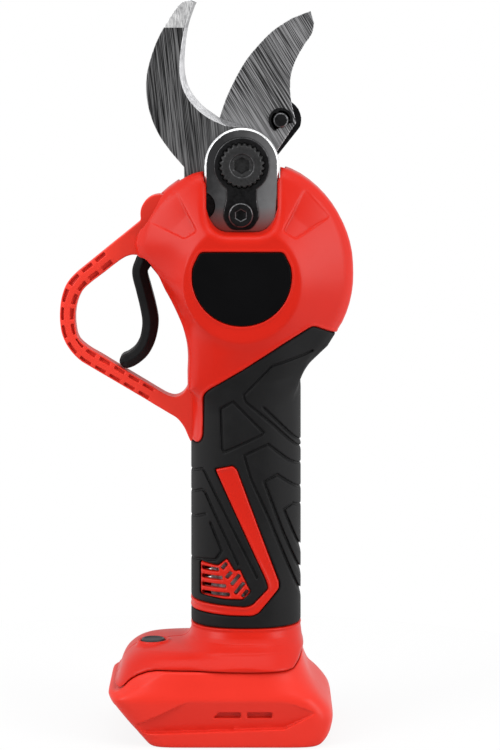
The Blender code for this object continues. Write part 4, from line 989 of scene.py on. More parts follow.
def circle(x: float, z: float, radius: float, y: float, count: int) -> Ring:
    """A round ring about Y."""
    turns = [2 * math.pi * i / count for i in range(count)]
    return [(x + radius * math.cos(a), y, z + radius * math.sin(a)) for a in turns]


def loft(name: str, rings: Sequence[Ring], angle: float = 32.0) -> bpy.types.Object:
    """Closed skin over rings of equally many points, capped at both ends.

    Args:
        name: Name of the piece.
        rings: Rings in millimetres.
        angle: Edges sharper than this many degrees stay sharp.

    Returns:
        The piece.
    """
    bm = bmesh.new()
    rows = [[bm.verts.new((x * MM, y * MM, z * MM)) for x, y, z in ring] for ring in rings]
    for one, two in zip(rows, rows[1:]):
        for i in range(len(one)):
            j = (i + 1) % len(one)
            bm.faces.new((one[i], one[j], two[j], two[i]))
    bm.faces.new(rows[0])
    bm.faces.new(rows[-1])
    return from_bmesh(name, bm, angle)


def from_bmesh(name: str, bm: bmesh.types.BMesh, angle: float) -> bpy.types.Object:
    """Link a bmesh as a piece, faces outwards, smooth up to an angle.

    Args:
        name: Name of the piece.
        bm: Its mesh, freed here.
        angle: Edges sharper than this many degrees stay sharp.

    Returns:
        The piece.
    """
    bmesh.ops.remove_doubles(bm, verts=bm.verts, dist=1e-7)
    bmesh.ops.recalc_face_normals(bm, faces=bm.faces)
    mesh = bpy.data.meshes.new(name)
    bm.to_mesh(mesh)
    bm.free()
    made = bpy.data.objects.new(name, mesh)
    bpy.context.scene.collection.objects.link(made)
    mesh.shade_smooth()
    mesh.set_sharp_from_angle(angle=math.radians(angle))
    return made


def lathe(name: str, x: float, z: float, profile: Sequence[Point], count: int = 64) -> bpy.types.Object:
    """Piece turned about Y.

    Args:
        name: Name of the piece.
        x: Its axis.
        z: Its axis.
        profile: (radius, y) from one end to the other.
        count: Sides.

    Returns:
        The piece.
    """
    return loft(name, [circle(x, z, r, y, count) for r, y in profile])


def plate(name: str, outline: Sequence[Point], front: float, back: float, edge: float) -> bpy.types.Object:
    """Flat plate with rounded edges.

    Args:
        name: Name of the piece.
        outline: Anticlockwise outline.
        front: Y of its front.
        back: Y of its back.
        edge: Size of the rounding.

    Returns:
        The piece.
    """
    soft = [(edge + 0.25, 0.0), (edge, 0.0), (edge * 0.45, edge * 0.12)]
    soft += [(edge * 0.12, edge * 0.45), (0.0, edge)]
    rings = [level_ring(shrink(outline, inset), front + drop) for inset, drop in soft]
    rings += [level_ring(shrink(outline, inset), back - drop) for inset, drop in reversed(soft)]
    return loft(name, rings, 40.0)


def carve(piece: bpy.types.Object, *cutters: bpy.types.Object) -> bpy.types.Object:
    """Cut solids from a piece and remove them.

    Args:
        piece: The piece.
        cutters: Solids to cut away.

    Returns:
        The piece.
    """
    for cutter in cutters:
        step = piece.modifiers.new("cut", "BOOLEAN")
        step.operation = "DIFFERENCE"
        step.solver = "EXACT"
        step.object = cutter
        bake(piece)
        bpy.data.objects.remove(cutter, do_unlink=True)
    return piece


def hexagon(x: float, z: float, flats: float, count: int = 48) -> Outline:
    """Hexagon as an outline with many points, so that it lofts to a circle.

    Args:
        x: Its middle.
        z: Its middle.
        flats: Size across the flats.
        count: Points.

    Returns:
        The outline.
    """
    found = []
    for i in range(count):
        a = 2 * math.pi * i / count
        lean = (a + math.pi / 6) % (math.pi / 3) - math.pi / 6
        r = flats / 2 / math.cos(lean)
        found.append((x + r * math.cos(a), z + r * math.sin(a)))
    return found


def socket_screw(
    name: str, x: float, z: float, steps: Sequence[Point], flats: float, deep: float
) -> bpy.types.Object:
    """Screw turned about Y with a hexagon recess in its head.

    Args:
        name: Name of the piece.
        x: Its axis.
        z: Its axis.
        steps: (radius, y) from the tip to the rim of the head's top.
        flats: Size of the recess across its flats.
        deep: Y of the recess's floor.

    Returns:
        The piece.
    """
    rings = [circle(x, z, r, y, 48) for r, y in steps]
    top = steps[-1][1]
    down = 0.35 if deep > top else -0.35
    rings.append(level_ring(hexagon(x, z, flats + 0.7), top))
    rings.append(level_ring(hexagon(x, z, flats), top + down))
    rings.append(level_ring(hexagon(x, z, flats), deep))
    rings.append(level_ring(hexagon(x, z, flats * 0.35), deep + down))
    return loft(name, rings)


def dress(
    piece: bpy.types.Object, body: str, slot: str, nodes: Sequence[str], *looks: Finish
) -> bpy.types.Object:
    """Give a piece its looks and tie it to the frame.

    Args:
        piece: The piece.
        body: CAD body that carries it.
        slot: The record's material slot; not used.
        nodes: CAD nodes that it stands for.
        looks: Its finishes, in slot order.

    Returns:
        The piece.
    """
    piece.data.materials.clear()
    for look in looks:
        piece.data.materials.append(look.material())
    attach(piece, body)
    if nodes:
        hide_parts(*nodes)
    LOG.info("%s: %d faces on %s", piece.name, len(piece.data.polygons), body)
    return piece


def paint(piece: bpy.types.Object, index: int, chosen: Callable[[Vector, Vector], bool]) -> None:
    """Give some faces another finish.

    Args:
        piece: The piece.
        index: Number of the finish.
        chosen: Says from a face's middle in millimetres and its normal whether it takes it.
    """
    for face in piece.data.polygons:
        if chosen(face.center / MM, face.normal):
            face.material_index = index


def off_pivot(middle: Vector) -> float:
    """How far a face's middle lies from the pivot's axis."""
    return math.hypot(middle.x - PIVOT_X, middle.z - PIVOT_Z)


def sharpen(piece: bpy.types.Object, angle: float) -> None:
    """Shade a piece smooth, with edges over an angle in degrees left sharp."""
    piece.data.shade_smooth()
    piece.data.set_sharp_from_angle(angle=math.radians(angle))


@dataclass
class BodyForm:
    """Outer form that shells, grip and seat share: head, barrel and foot run into each other."""

    head_flat: float = 24.7
    head_rim: float = 13.4
    rim_fillet: float = 5.0
    barrel_w: float = 23.7
    barrel_d: float = 22.5
    barrel_power: float = 2.4
    foot_depth: float = 38.0
    head_fillet: float = 10.0
    neck_fillet: float = 2.0
    foot_fillet: float = 4.5
    heel_fillet: float = 2.0

    def head_outline(self) -> Outline:
        """Edge of the head at the parting plane, anticlockwise from the right.

        Returns:
            The outline.
        """
        turns = np.linspace(-26.0, 73.0, 19)
        reach = np.interp(turns, (-26, 4, 12, 31, 55, 65), (44.9, 44.9, 45.4, 46.4, 47.9, 48.5))
        rim = [arc(PIVOT_X + 2.5, PIVOT_Z - 47.0, r, a, a, 1)[0] for a, r in zip(turns, reach)]
        crown = [(4.8, -0.9), (-9.2, -1.8), (-20.7, -3.5), (-34.7, -12.8), (-42.6, -24.3), (-45.5, -33.5)]
        flank = [(-44.6, -38.5), (-40.8, -42.7), (-33.3, -52.3), (-27.5, -63)]
        flank += [(-23.3, -73.3), (-21.9, -80), (-22, -87)]
        neck = [(-21.7, -94.3), (-17, -96), (1.8, -94.3), (21.8, -90.8), (27.3, -85.8), (36.5, -77)]
        curves = [spline(from_pivot(line), steps=4) for line in (crown, flank)]
        return rim + curves[0] + curves[1] + from_pivot(neck)

    def head(self, block: Block) -> Array:
        """Pebble: rim wall, cone and flat round face on both sides.

        Args:
            block: Grid to measure in.

        Returns:
            Distances, negative inside.
        """
        edge = block.outline(self.head_outline())
        inside = np.maximum(-soften(edge, round(3.2 / block.step)) - 1.5, 0.0)
        out = block.round_bar(PIVOT_X, HEAD_MIDDLE_Z, self.head_flat)
        rise = inside / np.maximum(inside + out, 0.5)
        share = np.clip((192.0 - block.z) / 26.0, 0.0, 1.0) * np.clip((15.0 - block.x) / 12.0, 0.0, 1.0)
        rim = self.head_rim + 7.0 * share * share * (3.0 - 2.0 * share)
        cone = rim + (HEAD_DEPTH - rim) * np.clip(rise, 0.0, 1.6)
        height = blend(np.full_like(cone, HEAD_DEPTH), cone, 0.7)
        return trim(edge + np.zeros_like(block.y), (np.abs(block.y) - height) * 0.86, self.rim_fillet)

    def barrel(self, block: Block) -> Array:
        """Grip barrel, flared below and tucked into the head above.

        Args:
            block: Grid to measure in.

        Returns:
            Distances, negative inside.
        """
        levels = [24.0, 36.0, 42.5, 47.0, 48.4, 150.0, 166.0, 176.0, 184.0, 196.0]
        more = [1.6, 1.4, 0.4, -0.1, 0.0, -0.2, -1.1, -3.0, -6.0, -12.0]
        extra = np.interp(block.zs, levels, more)[None, :]
        hem = (24.0, 30.0, 32.0, 35.0, 38.0, 41.0, 44.0, 47.0)
        skirt = np.interp(block.zs, hem, (13, 12.2, 11.4, 8.5, 5.4, 2.8, 0.9, 0))
        wide, deep = self.barrel_w + extra, self.barrel_d + extra + skirt[None, :]
        p = np.interp(block.zs, (30.0, 46.0), (3.4, self.barrel_power))[None, :]
        u = (np.abs(block.xs[:, None] - HANDLE_X) / wide) ** p
        v = (np.abs(block.ys[:, None]) / deep) ** p
        reach = (u[:, None, :] + v[None, :, :]).astype(np.float32) ** (1 / p)[None, :, :].astype(np.float32)
        side = (reach - 1.0) * np.minimum(wide, deep)[None, :, :].astype(np.float32)
        return trim(side, np.maximum(block.z - 196.0, 24.0 - block.z), 1.0)

    def foot(self, block: Block) -> Array:
        """Battery foot: sloped nose, rounded mound, fullest in the middle of its side.

        Args:
            block: Grid to measure in.

        Returns:
            Distances, negative inside.
        """
        rows = np.array(
            [
                (-2.0, -23.2, 47.0, -0.9, 9.0),
                (1.5, -26.2, 51.0, -0.1, 9.0),
                (5.0, -29.6, 53.2, 0.0, 8.0),
                (10.0, -34.2, 54.3, 0.0, 8.0),
                (13.0, -36.7, 54.2, 0.0, 8.0),
                (16.0, -39.1, 53.0, 0.0, 8.0),
                (19.0, -41.4, 50.6, 0.0, 8.0),
                (20.8, -42.3, 49.0, -0.2, 8.0),
                (22.2, -42.2, 47.8, -0.7, 7.5),
                (23.2, -41.2, 47.0, -1.2, 6.5),
                (24.4, -38.9, 46.0, -1.7, 5.4),
                (27.4, -37.9, 44.2, -2.8, 4.5),
                (30.2, -37.0, 43.0, -3.9, 4.2),
                (33.2, -35.6, 42.0, -5.6, 4.0),
                (35.2, -33.8, 41.7, -7.4, 4.0),
                (37.4, -31.0, 41.3, -10.0, 4.0),
                (39.1, -27.6, 40.8, -14.0, 4.0),
                (40.1, -22.8, 40.2, -19.0, 4.0),
                (40.8, -10.0, 39.0, -27.0, 4.0),
            ]
        )
        near = np.linspace(-1.5, 1.5, 7)[:, None] + block.zs
        even = [np.interp(near, rows[:, 0], rows[:, i]).mean(0)[None, :] for i in range(1, 5)]
        left, right, less, power = even
        u = (np.abs(block.xs[:, None] - (left + right) / 2) / ((right - left) / 2)) ** power
        v = (np.abs(block.ys[:, None]) / (self.foot_depth + less)) ** power
        root = (1 / power[None, :, :]).astype(np.float32)
        reach = (u[:, None, :] + v[None, :, :]).astype(np.float32) ** root
        side = (reach - 1.0) * 30.0
        slope = np.sqrt(sum(g * g for g in np.gradient(side, block.step)))
        mound = trim(side / np.maximum(slope, 0.6), block.z - 40.8, 2.4)
        return trim(mound, -block.z, 0.9)

    def whole(self, block: Block) -> Array:
        """All three with fillets where they meet, tight at the neck's sides and at the heel.

        Args:
            block: Grid to measure in.

        Returns:
            Distances, negative inside.
        """
        front = np.clip((np.abs(block.y) - 4.0) / 10.0, 0.0, 1.0)
        fillet = self.neck_fillet + (self.head_fillet - self.neck_fillet) * front
        upper = blend(self.head(block), self.barrel(block), fillet)
        nose = np.clip((34.0 - block.x) / 14.0, 0.0, 1.0)
        fillet = self.heel_fillet + (self.foot_fillet - self.heel_fillet) * nose
        whole = blend(upper, self.foot(block), fillet)
        pad = np.hypot(block.x - BUTTON_X, block.y - BUTTON_Y)
        whole = blend(whole, np.maximum(np.maximum(pad - 6.4, block.z - BUTTON_PAD), 34.0 - block.z), 2.5)
        return trim(whole, -np.maximum(pad - 5.9, BUTTON_PAD - block.z), 0.6)

    def groove(self, lift: float) -> Outline:
        """Line on which the seat meets the shells, as a closed outline under it.

        Args:
            lift: How far up it is moved.

        Returns:
            The outline.
        """
        line = [(-60, 22.6), (-38.6, 22.8), (-36.4, 23.8), (-34.8, 25), (-33.2, 26.7)]
        line += [(-31.5, 28.1), (-29, 29.7)]
        line += [(-25, 31.3), (-20.8, 32), (34, 31.7), (37.2, 32.2), (39.4, 34.4), (41, 37.2), (70, 37.8)]
        return [(x, z + lift) for x, z in line] + [(70.0, -5.0), (-60.0, -5.0)]

    def grip_outline(self) -> Outline:
        """Edge of the rubber.

        Returns:
            The outline.
        """
        top = [(50.8, -74.3), (39, -71.1), (29.9, -67.5), (17, -75.2), (-0.3, -86.5), (-13.2, -93.9)]
        side = [(-16, -96.3), (-16.3, -114.8), (-17.6, -117.6), (-19.8, -118.5), (-22.2, -117.1)]
        side += [(-29.2, -116.7)]
        low = [(HANDLE_X - 31.0, GRIP_BOTTOM), (HANDLE_X + 49.0, GRIP_BOTTOM)]
        return rounded(from_pivot(top + side) + low, 1.6)

    def stripe_outline(self) -> Outline:
        """Hooked stripe that shows through the rubber.

        Returns:
            The outline.
        """
        outer = [(-13.3, 68.6), (-5.4, 70.4), (-3.6, 68.6), (14.3, 19.6), (14.3, 16.8), (5.4, 6.3)]
        outer += [(2.6, 5.2)]
        hook = [(-6.8, 5.3), (-17.5, 5.9), (-26.9, 6.2), (-26.9, 11), (-15.3, 10.3), (-0.6, 9.3)]
        return rounded(from_grip(outer + hook + [(2.6, 10.2), (9.4, 17.2), (8.3, 21)]), 1.0)

    def vent_outline(self) -> Outline:
        """Panel with the vent's bars.

        Returns:
            The outline.
        """
        points = [(-19.5, 28.2), (-11.9, 27.1), (-8, 30.5), (-4.6, 24.9), (-2.5, 25.8), (2.2, 15.8)]
        points += [(-1.2, 12.4)]
        return rounded(from_grip(points + [(-8.9, 12.4), (-19.5, 13.7)]), 0.8)

    def rubber_field(self, block: Block) -> Array:
        """Distance in X and Z to the area that rubber covers.

        Args:
            block: Grid to measure in.

        Returns:
            Distances, negative inside.
        """
        area = block.outline(self.grip_outline())
        area = np.maximum(area, -block.outline(self.stripe_outline()))
        return np.maximum(area, -block.outline(self.vent_outline()))


@dataclass
class GuardForm:
    """Finger loop in front of the trigger."""

    bar: float = 6.7
    half: float = 5.5
    eye_x: float = PIVOT_X - 37.1
    eye_z: float = PIVOT_Z - 18.8
    lobe_x: float = -34.9
    lobe_z: float = -21.0
    lobe_r: float = 8.3
    spine: float = 1.25
    pitch: float = 7.2
    pocket_long: float = 5.1
    wall: float = 0.62
    pocket_deep: float = 1.6
    first: float = 12.0

    def centre_line(self) -> Outline:
        """Middle of the bar from the head to the handle.

        Returns:
            The line.
        """
        upper = [(-46.9, -31.2), (-53.2, -36.4), (-61, -42.8), (-68.7, -49.1), (-73.7, -57.2), (-74.8, -65)]
        lower = [(-73.2, -73.4), (-67.9, -80.7), (-57.2, -87.3), (-46.4, -93.7), (-35.9, -99.9)]
        lower += [(-24.4, -107)]
        return spline(from_pivot(upper + lower), steps=6)

    def edges(self) -> Outline:
        """Outline of the loop, with its seat under the head and its root beside the grip.

        Returns:
            The outline.
        """
        outer = [(-43.4, -24.1), (-49.3, -28.9), (-55.3, -33.7), (-63.2, -40.1), (-67.3, -43.4)]
        outer += [(-70.9, -46.4)]
        outer += [(-74.6, -50.5), (-76.8, -56.1), (-77.7, -62), (-77.7, -67.5), (-76.8, -72.8)]
        outer += [(-74.1, -78.4)]
        outer += [(-69.6, -83.4), (-64.6, -86.6), (-58.9, -90), (-48.3, -96.3), (-37.6, -102.7)]
        outer += [(-31.8, -106.2)]
        outer += [(-27.7, -108.8), (-24.9, -112.4), (-23.1, -116.4), (-22.2, -118.4)]
        inner = [(-22.5, -86), (-22.6, -90.6), (-23.3, -94.8), (-25.4, -98), (-28.4, -99.4), (-31.4, -98.9)]
        inner += [(-34.7, -97.2), (-38.4, -94.9), (-43.5, -91.8), (-52.7, -86.2), (-60, -81.7)]
        inner += [(-66.3, -77.9)]
        inner += [(-69.9, -74.3), (-71.1, -69.5), (-71.3, -64), (-70.2, -58.2), (-67.9, -53.6)]
        inner += [(-64.6, -50.4)]
        inner += [(-58.3, -45.6), (-54.5, -42.6), (-51.5, -40.4), (-48.7, -38.9), (-46.4, -38.4)]
        inner += [(-44.6, -38.5)]
        root = [(-20.1, -119.0), (-20.1, -86.0)]
        seat = [(-43.2, -31.3), (-34.9, -24.9), (-29, -24.5), (-29, -20.3), (-34.2, -14.3)]
        return spline(from_pivot(outer)) + from_pivot(root) + spline(from_pivot(inner)) + from_pivot(seat)

    def plan(self, block: Block) -> Array:
        """Distance in X and Z to the whole loop, with the lobe round its eye."""
        lobe = block.round_bar(PIVOT_X + self.lobe_x, PIVOT_Z + self.lobe_z, self.lobe_r)
        return blend(block.outline(self.edges()), lobe, 1.2)

    def build(self) -> bpy.types.Object:
        """Bar with a raised spine and pockets on both sides of it.

        Returns:
            The piece.
        """
        block = Block((-64.0, -6.5, 126.5), (-3.5, 6.5, 234.0), 0.27)
        near, along, _ = block.line(self.centre_line())
        flat = self.plan(block)
        total = float(along.max())
        cells = math.floor((total - self.first - 12.0) / self.pitch)
        ribbed = np.maximum(self.first - along, along - (self.first + cells * self.pitch))
        slope = np.clip((near - self.spine) / (self.bar / 2 - self.spine), 0.0, 1.0) * 0.5
        slope = slope * np.clip((1.5 - ribbed) / 3.0, 0.0, 1.0)
        depth = np.abs(block.y) - self.half
        form = trim(flat + np.zeros_like(block.y), depth + slope, 0.45)
        cell = np.abs((along - self.first) % self.pitch - self.pitch / 2) - self.pocket_long / 2
        cell = np.maximum(cell, np.maximum(self.spine + 0.05 - near, flat + self.wall))
        cell = np.maximum(cell, ribbed)
        pocket = np.maximum(cell, -(depth + slope + self.pocket_deep))
        form = trim(form, -pocket, 0.15)
        eye = np.maximum(block.round_bar(self.eye_x, self.eye_z, 1.8), -3.0 - block.y)
        form = trim(form, -eye, 0.5)
        piece = block.skin("guard_loop", form, 120_000)
        # The loop takes the lighter red copy, which is painted light.
        return dress(piece, "body", "red_shell", ["trigger_guard"], PAINTED_LIGHT_GUARD_RED)


@dataclass
class Shells:
    """Front and rear housing: hollow mouldings with recesses, mouth, slots, vents and screw wells."""

    form: BodyForm
    guard: GuardForm
    step: float = 0.44
    soft: float = 0.7
    lip_high: float = 0.25
    lip_wide: float = 1.1

    def notch(self, by: float = 0.0) -> Outline:
        """U-shaped mouth over the pivot bolt.

        Args:
            by: How far it is moved.

        Returns:
            The outline.
        """
        half = 14.4 + by
        low = PIVOT_Z - 28.8 - by
        bend = 8.5
        right = arc(PIVOT_X + half - bend, low + bend, bend, -90, 0, 9)
        left = arc(PIVOT_X - half + bend, low + bend, bend, 180, 270, 9)
        return left + right + [(PIVOT_X + half, PIVOT_Z + 30.0), (PIVOT_X - half, PIVOT_Z + 30.0)]

    def bridge(self, by: float) -> Outline:
        """Room for the bridge under the front shell.

        Args:
            by: How far it is moved.

        Returns:
            The outline.
        """
        top = arc(PIVOT_X, PIVOT_Z, HUB_R + by, 0, 180, 24)
        half, low = 14.5 + by, PIVOT_Z - 30.6 - by
        wide = HUB_R + by
        return top + [
            (PIVOT_X - wide, PIVOT_Z - 12.0),
            (PIVOT_X - half, low),
            (PIVOT_X + half, low),
            (PIVOT_X + wide, PIVOT_Z - 12.0),
        ]

    def hollows(self) -> list[tuple[Outline, Point, Point]]:
        """Shaped hollows on the head's cone: outline, middle of the outer side and of the inner side.

        Returns:
            One row for each.
        """
        left = from_pivot([(-28.1, -10.3), (-18.9, -27.1), (-24.1, -30.3), (-38.6, -23.8)])
        right = from_pivot([(26.5, -10.3), (36.9, -21.5), (22.5, -30.3), (17.3, -27.1)])
        ends = from_pivot([(-33.4, -17.1), (-21.5, -28.7), (31.7, -15.9), (19.9, -28.7)])
        return [(rounded(left, 1.3), ends[0], ends[1]), (rounded(right, 1.3), ends[2], ends[3])]

    def badge(self) -> Outline:
        """Round plate cut off level at its top."""
        bowl = arc(PIVOT_X, BADGE_MIDDLE_Z, 20.6, 168, 372, 40)
        return rounded(bowl + from_pivot([(17.3, -36.0), (-17.3, -36.0)]), 1.5, 8)

    def slots(self) -> list[Outline]:
        """Openings between the vent's bars: level ones left of its spine, rising ones right of it.

        Returns:
            The outlines.
        """
        found = []
        for i in range(4):
            z = 25.4 - 3.55 * i
            right = 1.55 * i - 11.5
            found.append([(-18.7, z - 0.85), (right, z - 1.2), (right, z + 0.6), (-18.7, z + 0.9)])
        rising = [(-10.2, 25.6, 2.1), (-8.4, 21.6, 2.3), (-6.3, 18.7, 3.7)]
        rising += [(-4.7, 14.9, 4.0), (-1.6, 13.5, 2.5)]
        for x, z, run in rising:
            right, top = x + run, z + 1.25 * run
            low_side = [(x + 0.65, z - 0.52), (right + 0.65, top - 0.52)]
            found.append(low_side + [(right - 0.65, top + 0.52), (x - 0.65, z + 0.52)])
        return [rounded(from_grip(outline), 0.3) for outline in found]

    def posts(self) -> list[tuple[float, float, float]]:
        """Screw wells: x, z and the shell's half depth there.

        Returns:
            One row for each.
        """
        found = []
        for (x, z), less in zip(from_pivot([(30.8, -32.3), (33.3, -62.8), (-24.2, -53.3)]), (6.5, 8.5, 7.5)):
            found.append((x, z, HEAD_DEPTH - less))
        return found + [(x, z, self.form.barrel_d - 6.7) for x, z in from_grip([(15.3, -4.4), (-15.3, -4.4)])]

    def build(self, half: Half) -> bpy.types.Object:
        """Make one shell.

        Args:
            half: Which one.

        Returns:
            The piece.
        """
        sign = half.value
        ends = sorted((sign * 34.5, sign * -0.5))
        block = Block((-41.5, ends[0], 24.5), (64.0, ends[1], 245.0), self.step)
        y = block.y
        field_edge = self.form.rubber_field(block)
        badge_edge = block.outline(self.badge())
        notch = block.outline(self.notch())
        outer = self.form.whole(block)
        lip = field_edge if half is Half.REAR else np.minimum(field_edge, np.where(y < 0, badge_edge, 9.0))
        outer = outer - self.lip_high * np.clip((self.lip_wide + 0.55 - lip) / 0.5, 0.0, 1.0)
        hollow = outer + WALL
        if half is Half.FRONT:
            hollow = np.maximum(hollow, -np.maximum(notch - 2.2, y - PLATE_BACK))
        solid = np.maximum(outer, -hollow)
        depth = {x: d for x, _, d in self.posts()}
        for x, z, _ in self.posts():
            solid = np.minimum(solid, np.maximum(block.round_bar(x, z, 4.6), outer + 0.6))
        solid = trim(solid, -block.outline(self.form.groove(0.15)), 1.6)
        solid = trim(solid, -np.maximum(field_edge - 0.3, -outer - SKIN), self.soft)
        for outline, (ax, az), (bx, bz) in self.hollows():
            area = block.outline(outline)
            ex, ez = bx - ax, bz - az
            run = ((block.x - ax) * ex + (block.z - az) * ez) / (ex**2 + ez**2)
            deep = 0.9 * np.clip(run * 1.7, 0.0, 1.0)
            solid = trim(solid, -np.maximum(area, -outer - deep), 0.6)
        if half is Half.FRONT:
            solid = trim(solid, -np.maximum(badge_edge - 0.3, -outer - SKIN), self.soft)
            low = np.clip((PIVOT_Z - 18.0 - block.z) / 6.0, 0.0, 1.0)
            notch = notch + low * np.clip((y + HEAD_DEPTH) * 0.105, 0.0, 1.35)
            solid = trim(solid, -np.maximum(notch, y - (BRIDGE_FRONT + 1.0)), 4.2)
            button = np.hypot(block.x - BUTTON_X, y - BUTTON_Y) - 5.35
            solid = trim(solid, -np.maximum(button, 30.0 - block.z), 0.5)
        ear = block.round_bar(PIVOT_X - 17.4, PIVOT_Z - 17.1, 7.8)
        room = np.minimum(block.outline(self.bridge(0.3)), ear)
        solid = np.maximum(solid, -np.maximum(room, np.maximum(BRIDGE_FRONT - 0.3 - y, y)))
        mouth = block.outline(from_pivot([(-26.7, -16.8), (18.3, -16.8), (18.3, 24.7), (-26.7, 24.7)]))
        solid = trim(solid, -np.maximum(mouth, np.maximum(FIXED_FRONT - 0.6 - y, y - FRAME_FRONT)), 0.6)
        wide = HUB_R + 1.0
        rear = block.outline(from_pivot([(-wide, -22.3), (wide, -22.3), (wide, 30.0), (-wide, 30.0)]))
        solid = trim(solid, -np.maximum(rear, FRAME_FRONT - 1.0 - y), 0.9)
        slit = [(-14, -1.8), (-5.6, -0.2), (1, -3), (7.5, -11.5), (3.6, -16.2), (-14, -10)]
        slot = block.outline(from_trigger(slit))
        solid = trim(solid, -np.maximum(slot, np.abs(y) - 7.3), 0.7)
        solid = np.maximum(solid, -np.maximum(block.round_bar(TRIGGER_X, TRIGGER_Z, 4.5), np.abs(y) - 7.3))
        solid = trim(solid, -np.maximum(self.guard.plan(block) - 0.4, np.abs(y) - 5.8), 0.6)
        for outline in self.slots():
            area = np.maximum(block.outline(outline), self.form.barrel_d - 10.5 - np.abs(y))
            solid = trim(solid, -area, 0.3)
        if half is Half.REAR:
            for x, z, _ in self.posts():
                well = np.maximum(block.round_bar(x, z, 3.8), depth[x] - 5.0 - y)
                solid = trim(solid, -well, 0.6)
            eye = block.round_bar(self.guard.eye_x, self.guard.eye_z, 3.6)
            solid = trim(solid, -np.maximum(eye, 8.5 - y), 0.5)
        solid = trim(solid, -sign * y, 0.4)
        name = "front_shell" if half is Half.FRONT else "rear_shell"
        node = "front_housing" if half is Half.FRONT else "rear_housing"
        return dress(block.skin(name, solid, 190_000), "body", "red_shell", [node], RED)


@dataclass
class Grip:
    """Rubber sleeve in two halves, with raised panels between fine grooves."""

    form: BodyForm
    step: float = 0.36
    groove_wide: float = 0.85
    groove_deep: float = 0.75

    def grooves(self) -> list[Outline]:
        """Lines between the panels, from the photo's own layout.

        Returns:
            The outlines.
        """
        return [
            [(6.3, 142.9), (11.5, 146.1), (24.4, 132.7), (23.5, 131.7), (7.6, 124.2), (6.9, 125.5), (6.3, 142.9)],
            [(45, 167), (41.1, 165.3), (27.8, 161.1), (16.0, 148.7), (16.7, 146.1), (27.9, 136.4), (44, 120.5)],
            [(24.4, 143.4), (37.1, 130.1), (44, 123.4)],
            [(44, 115), (34.9, 120.4), (26.2, 127.7), (16.2, 123.0), (19.2, 112.6), (26.6, 96.1), (44, 52)],
            [(44, 104), (30.1, 114.5), (24.7, 111.6), (32.3, 90.4), (44, 61.5)],
            [(44, 97), (36.7, 101.3), (33.0, 99.1), (44, 71)],
            [(-10, 113), (-1.4, 116.5), (-0.3, 114.8), (21.6, 70.4)],
            [(-10, 103.5), (-1.6, 107.5), (-0.3, 106.4), (13.6, 76.0)],
            [(-10, 93), (-0.3, 97.1)],
            [(-10, 75), (-2.6, 77.3), (4.0, 77.8), (6.6, 81.6), (1.9, 93.5)],
        ]

    def build(self, half: Half) -> bpy.types.Object:
        """Make one half of the sleeve.

        Args:
            half: Which one.

        Returns:
            The piece.
        """
        sign = half.value
        ends = sorted((sign * 24.5, sign * -0.5))
        block = Block((-8.5, ends[0], 47.0), (57.5, ends[1], 180.0), self.step)
        outer = self.form.whole(block)
        area = self.form.rubber_field(block) + np.zeros_like(outer)
        form = trim(area, outer - 0.05, 0.9)
        form = np.maximum(form, -(outer + SKIN - 0.15))
        for line in self.grooves():
            near, _, _ = block.line(line)
            groove = np.maximum(near - self.groove_wide / 2, -outer - self.groove_deep)
            form = trim(form, -groove, 0.6)
        form = trim(form, -sign * block.y, 0.45)
        name = "grip_sleeve_front" if half is Half.FRONT else "grip_sleeve_rear"
        node = "grip_front" if half is Half.FRONT else "grip_rear"
        return dress(block.skin(name, form, 150_000), "body", "grip_rubber", [node], RUBBER)


@dataclass
class Seat:
    """Lower foot with rails for the battery and sunk side facets."""

    form: BodyForm
    step: float = 0.42
    floor: float = 19.6
    ceiling: float = 17.0
    bay: float = 31.0
    rail_in: float = 27.5
    rail_high: float = 5.5
    terminal_x: float = 38.5

    def build(self) -> bpy.types.Object:
        """Make the seat.

        Returns:
            The piece.
        """
        block = Block((-44.0, -39.0, -1.0), (56.0, 39.0, 39.0), self.step)
        y, z = block.y, block.z
        outer = self.form.foot(block)
        form = trim(outer, block.outline(self.form.groove(-0.15)), 1.0)
        wide = np.where(z > self.rail_high, self.bay, self.rail_in)
        bay = np.maximum(np.abs(y) - wide, z - self.ceiling)
        bay = np.maximum(bay, block.x - (self.terminal_x + 7.5))
        form = trim(form, -bay, 0.5)
        room = np.maximum(outer + 2.8, self.floor - z)
        form = np.maximum(form, -room)
        neck = np.maximum(np.abs(block.x - self.terminal_x) - 3.8, np.abs(y) - 8.3)
        form = np.maximum(form, -np.maximum(neck, np.maximum(10.0 - z, z - 30.0)))
        sunk = [(-30.5, 9.2), (-25.6, 6.0), (33.5, 8.2), (46.5, 15.0), (32.6, 20.3), (-6.7, 20.3)]
        facet = block.outline(rounded(sunk, 1.2))
        lean = self.form.foot_depth - 0.2 - 3.2 * np.clip((20.3 - z) / 12.0, 0.0, 1.2)
        form = trim(form, -np.maximum(facet, lean - np.abs(y)), 0.35)
        above = ((z - 18.5) * 22.5 - (block.x + 39.5) * 13.0) / 26.0
        front = np.clip((np.abs(y) - 24.0) / 8.0, 0.0, 1.0)
        form = trim(form, outer + 0.3 * np.maximum(above, 0.0) * front, 0.25)
        for x0, x1, lift in ((3.0, 14.8, 2.4), (17.4, 28.0, 0.0)):
            slot = block.outline(rounded([(x0, 12.6), (x1, 12.6), (x1, 15.2), (x0 + lift, 15.2)], 0.4))
            form = trim(form, -np.maximum(slot, self.form.foot_depth - 4.6 - np.abs(y)), 0.3)
        piece = block.skin("battery_foot", form, 150_000)
        # The foot takes the lighter red copy, which is painted light and sheen.
        return dress(piece, "body", "red_shell", ["battery_seat"], PAINTED_LIGHT_FOOT_RED)


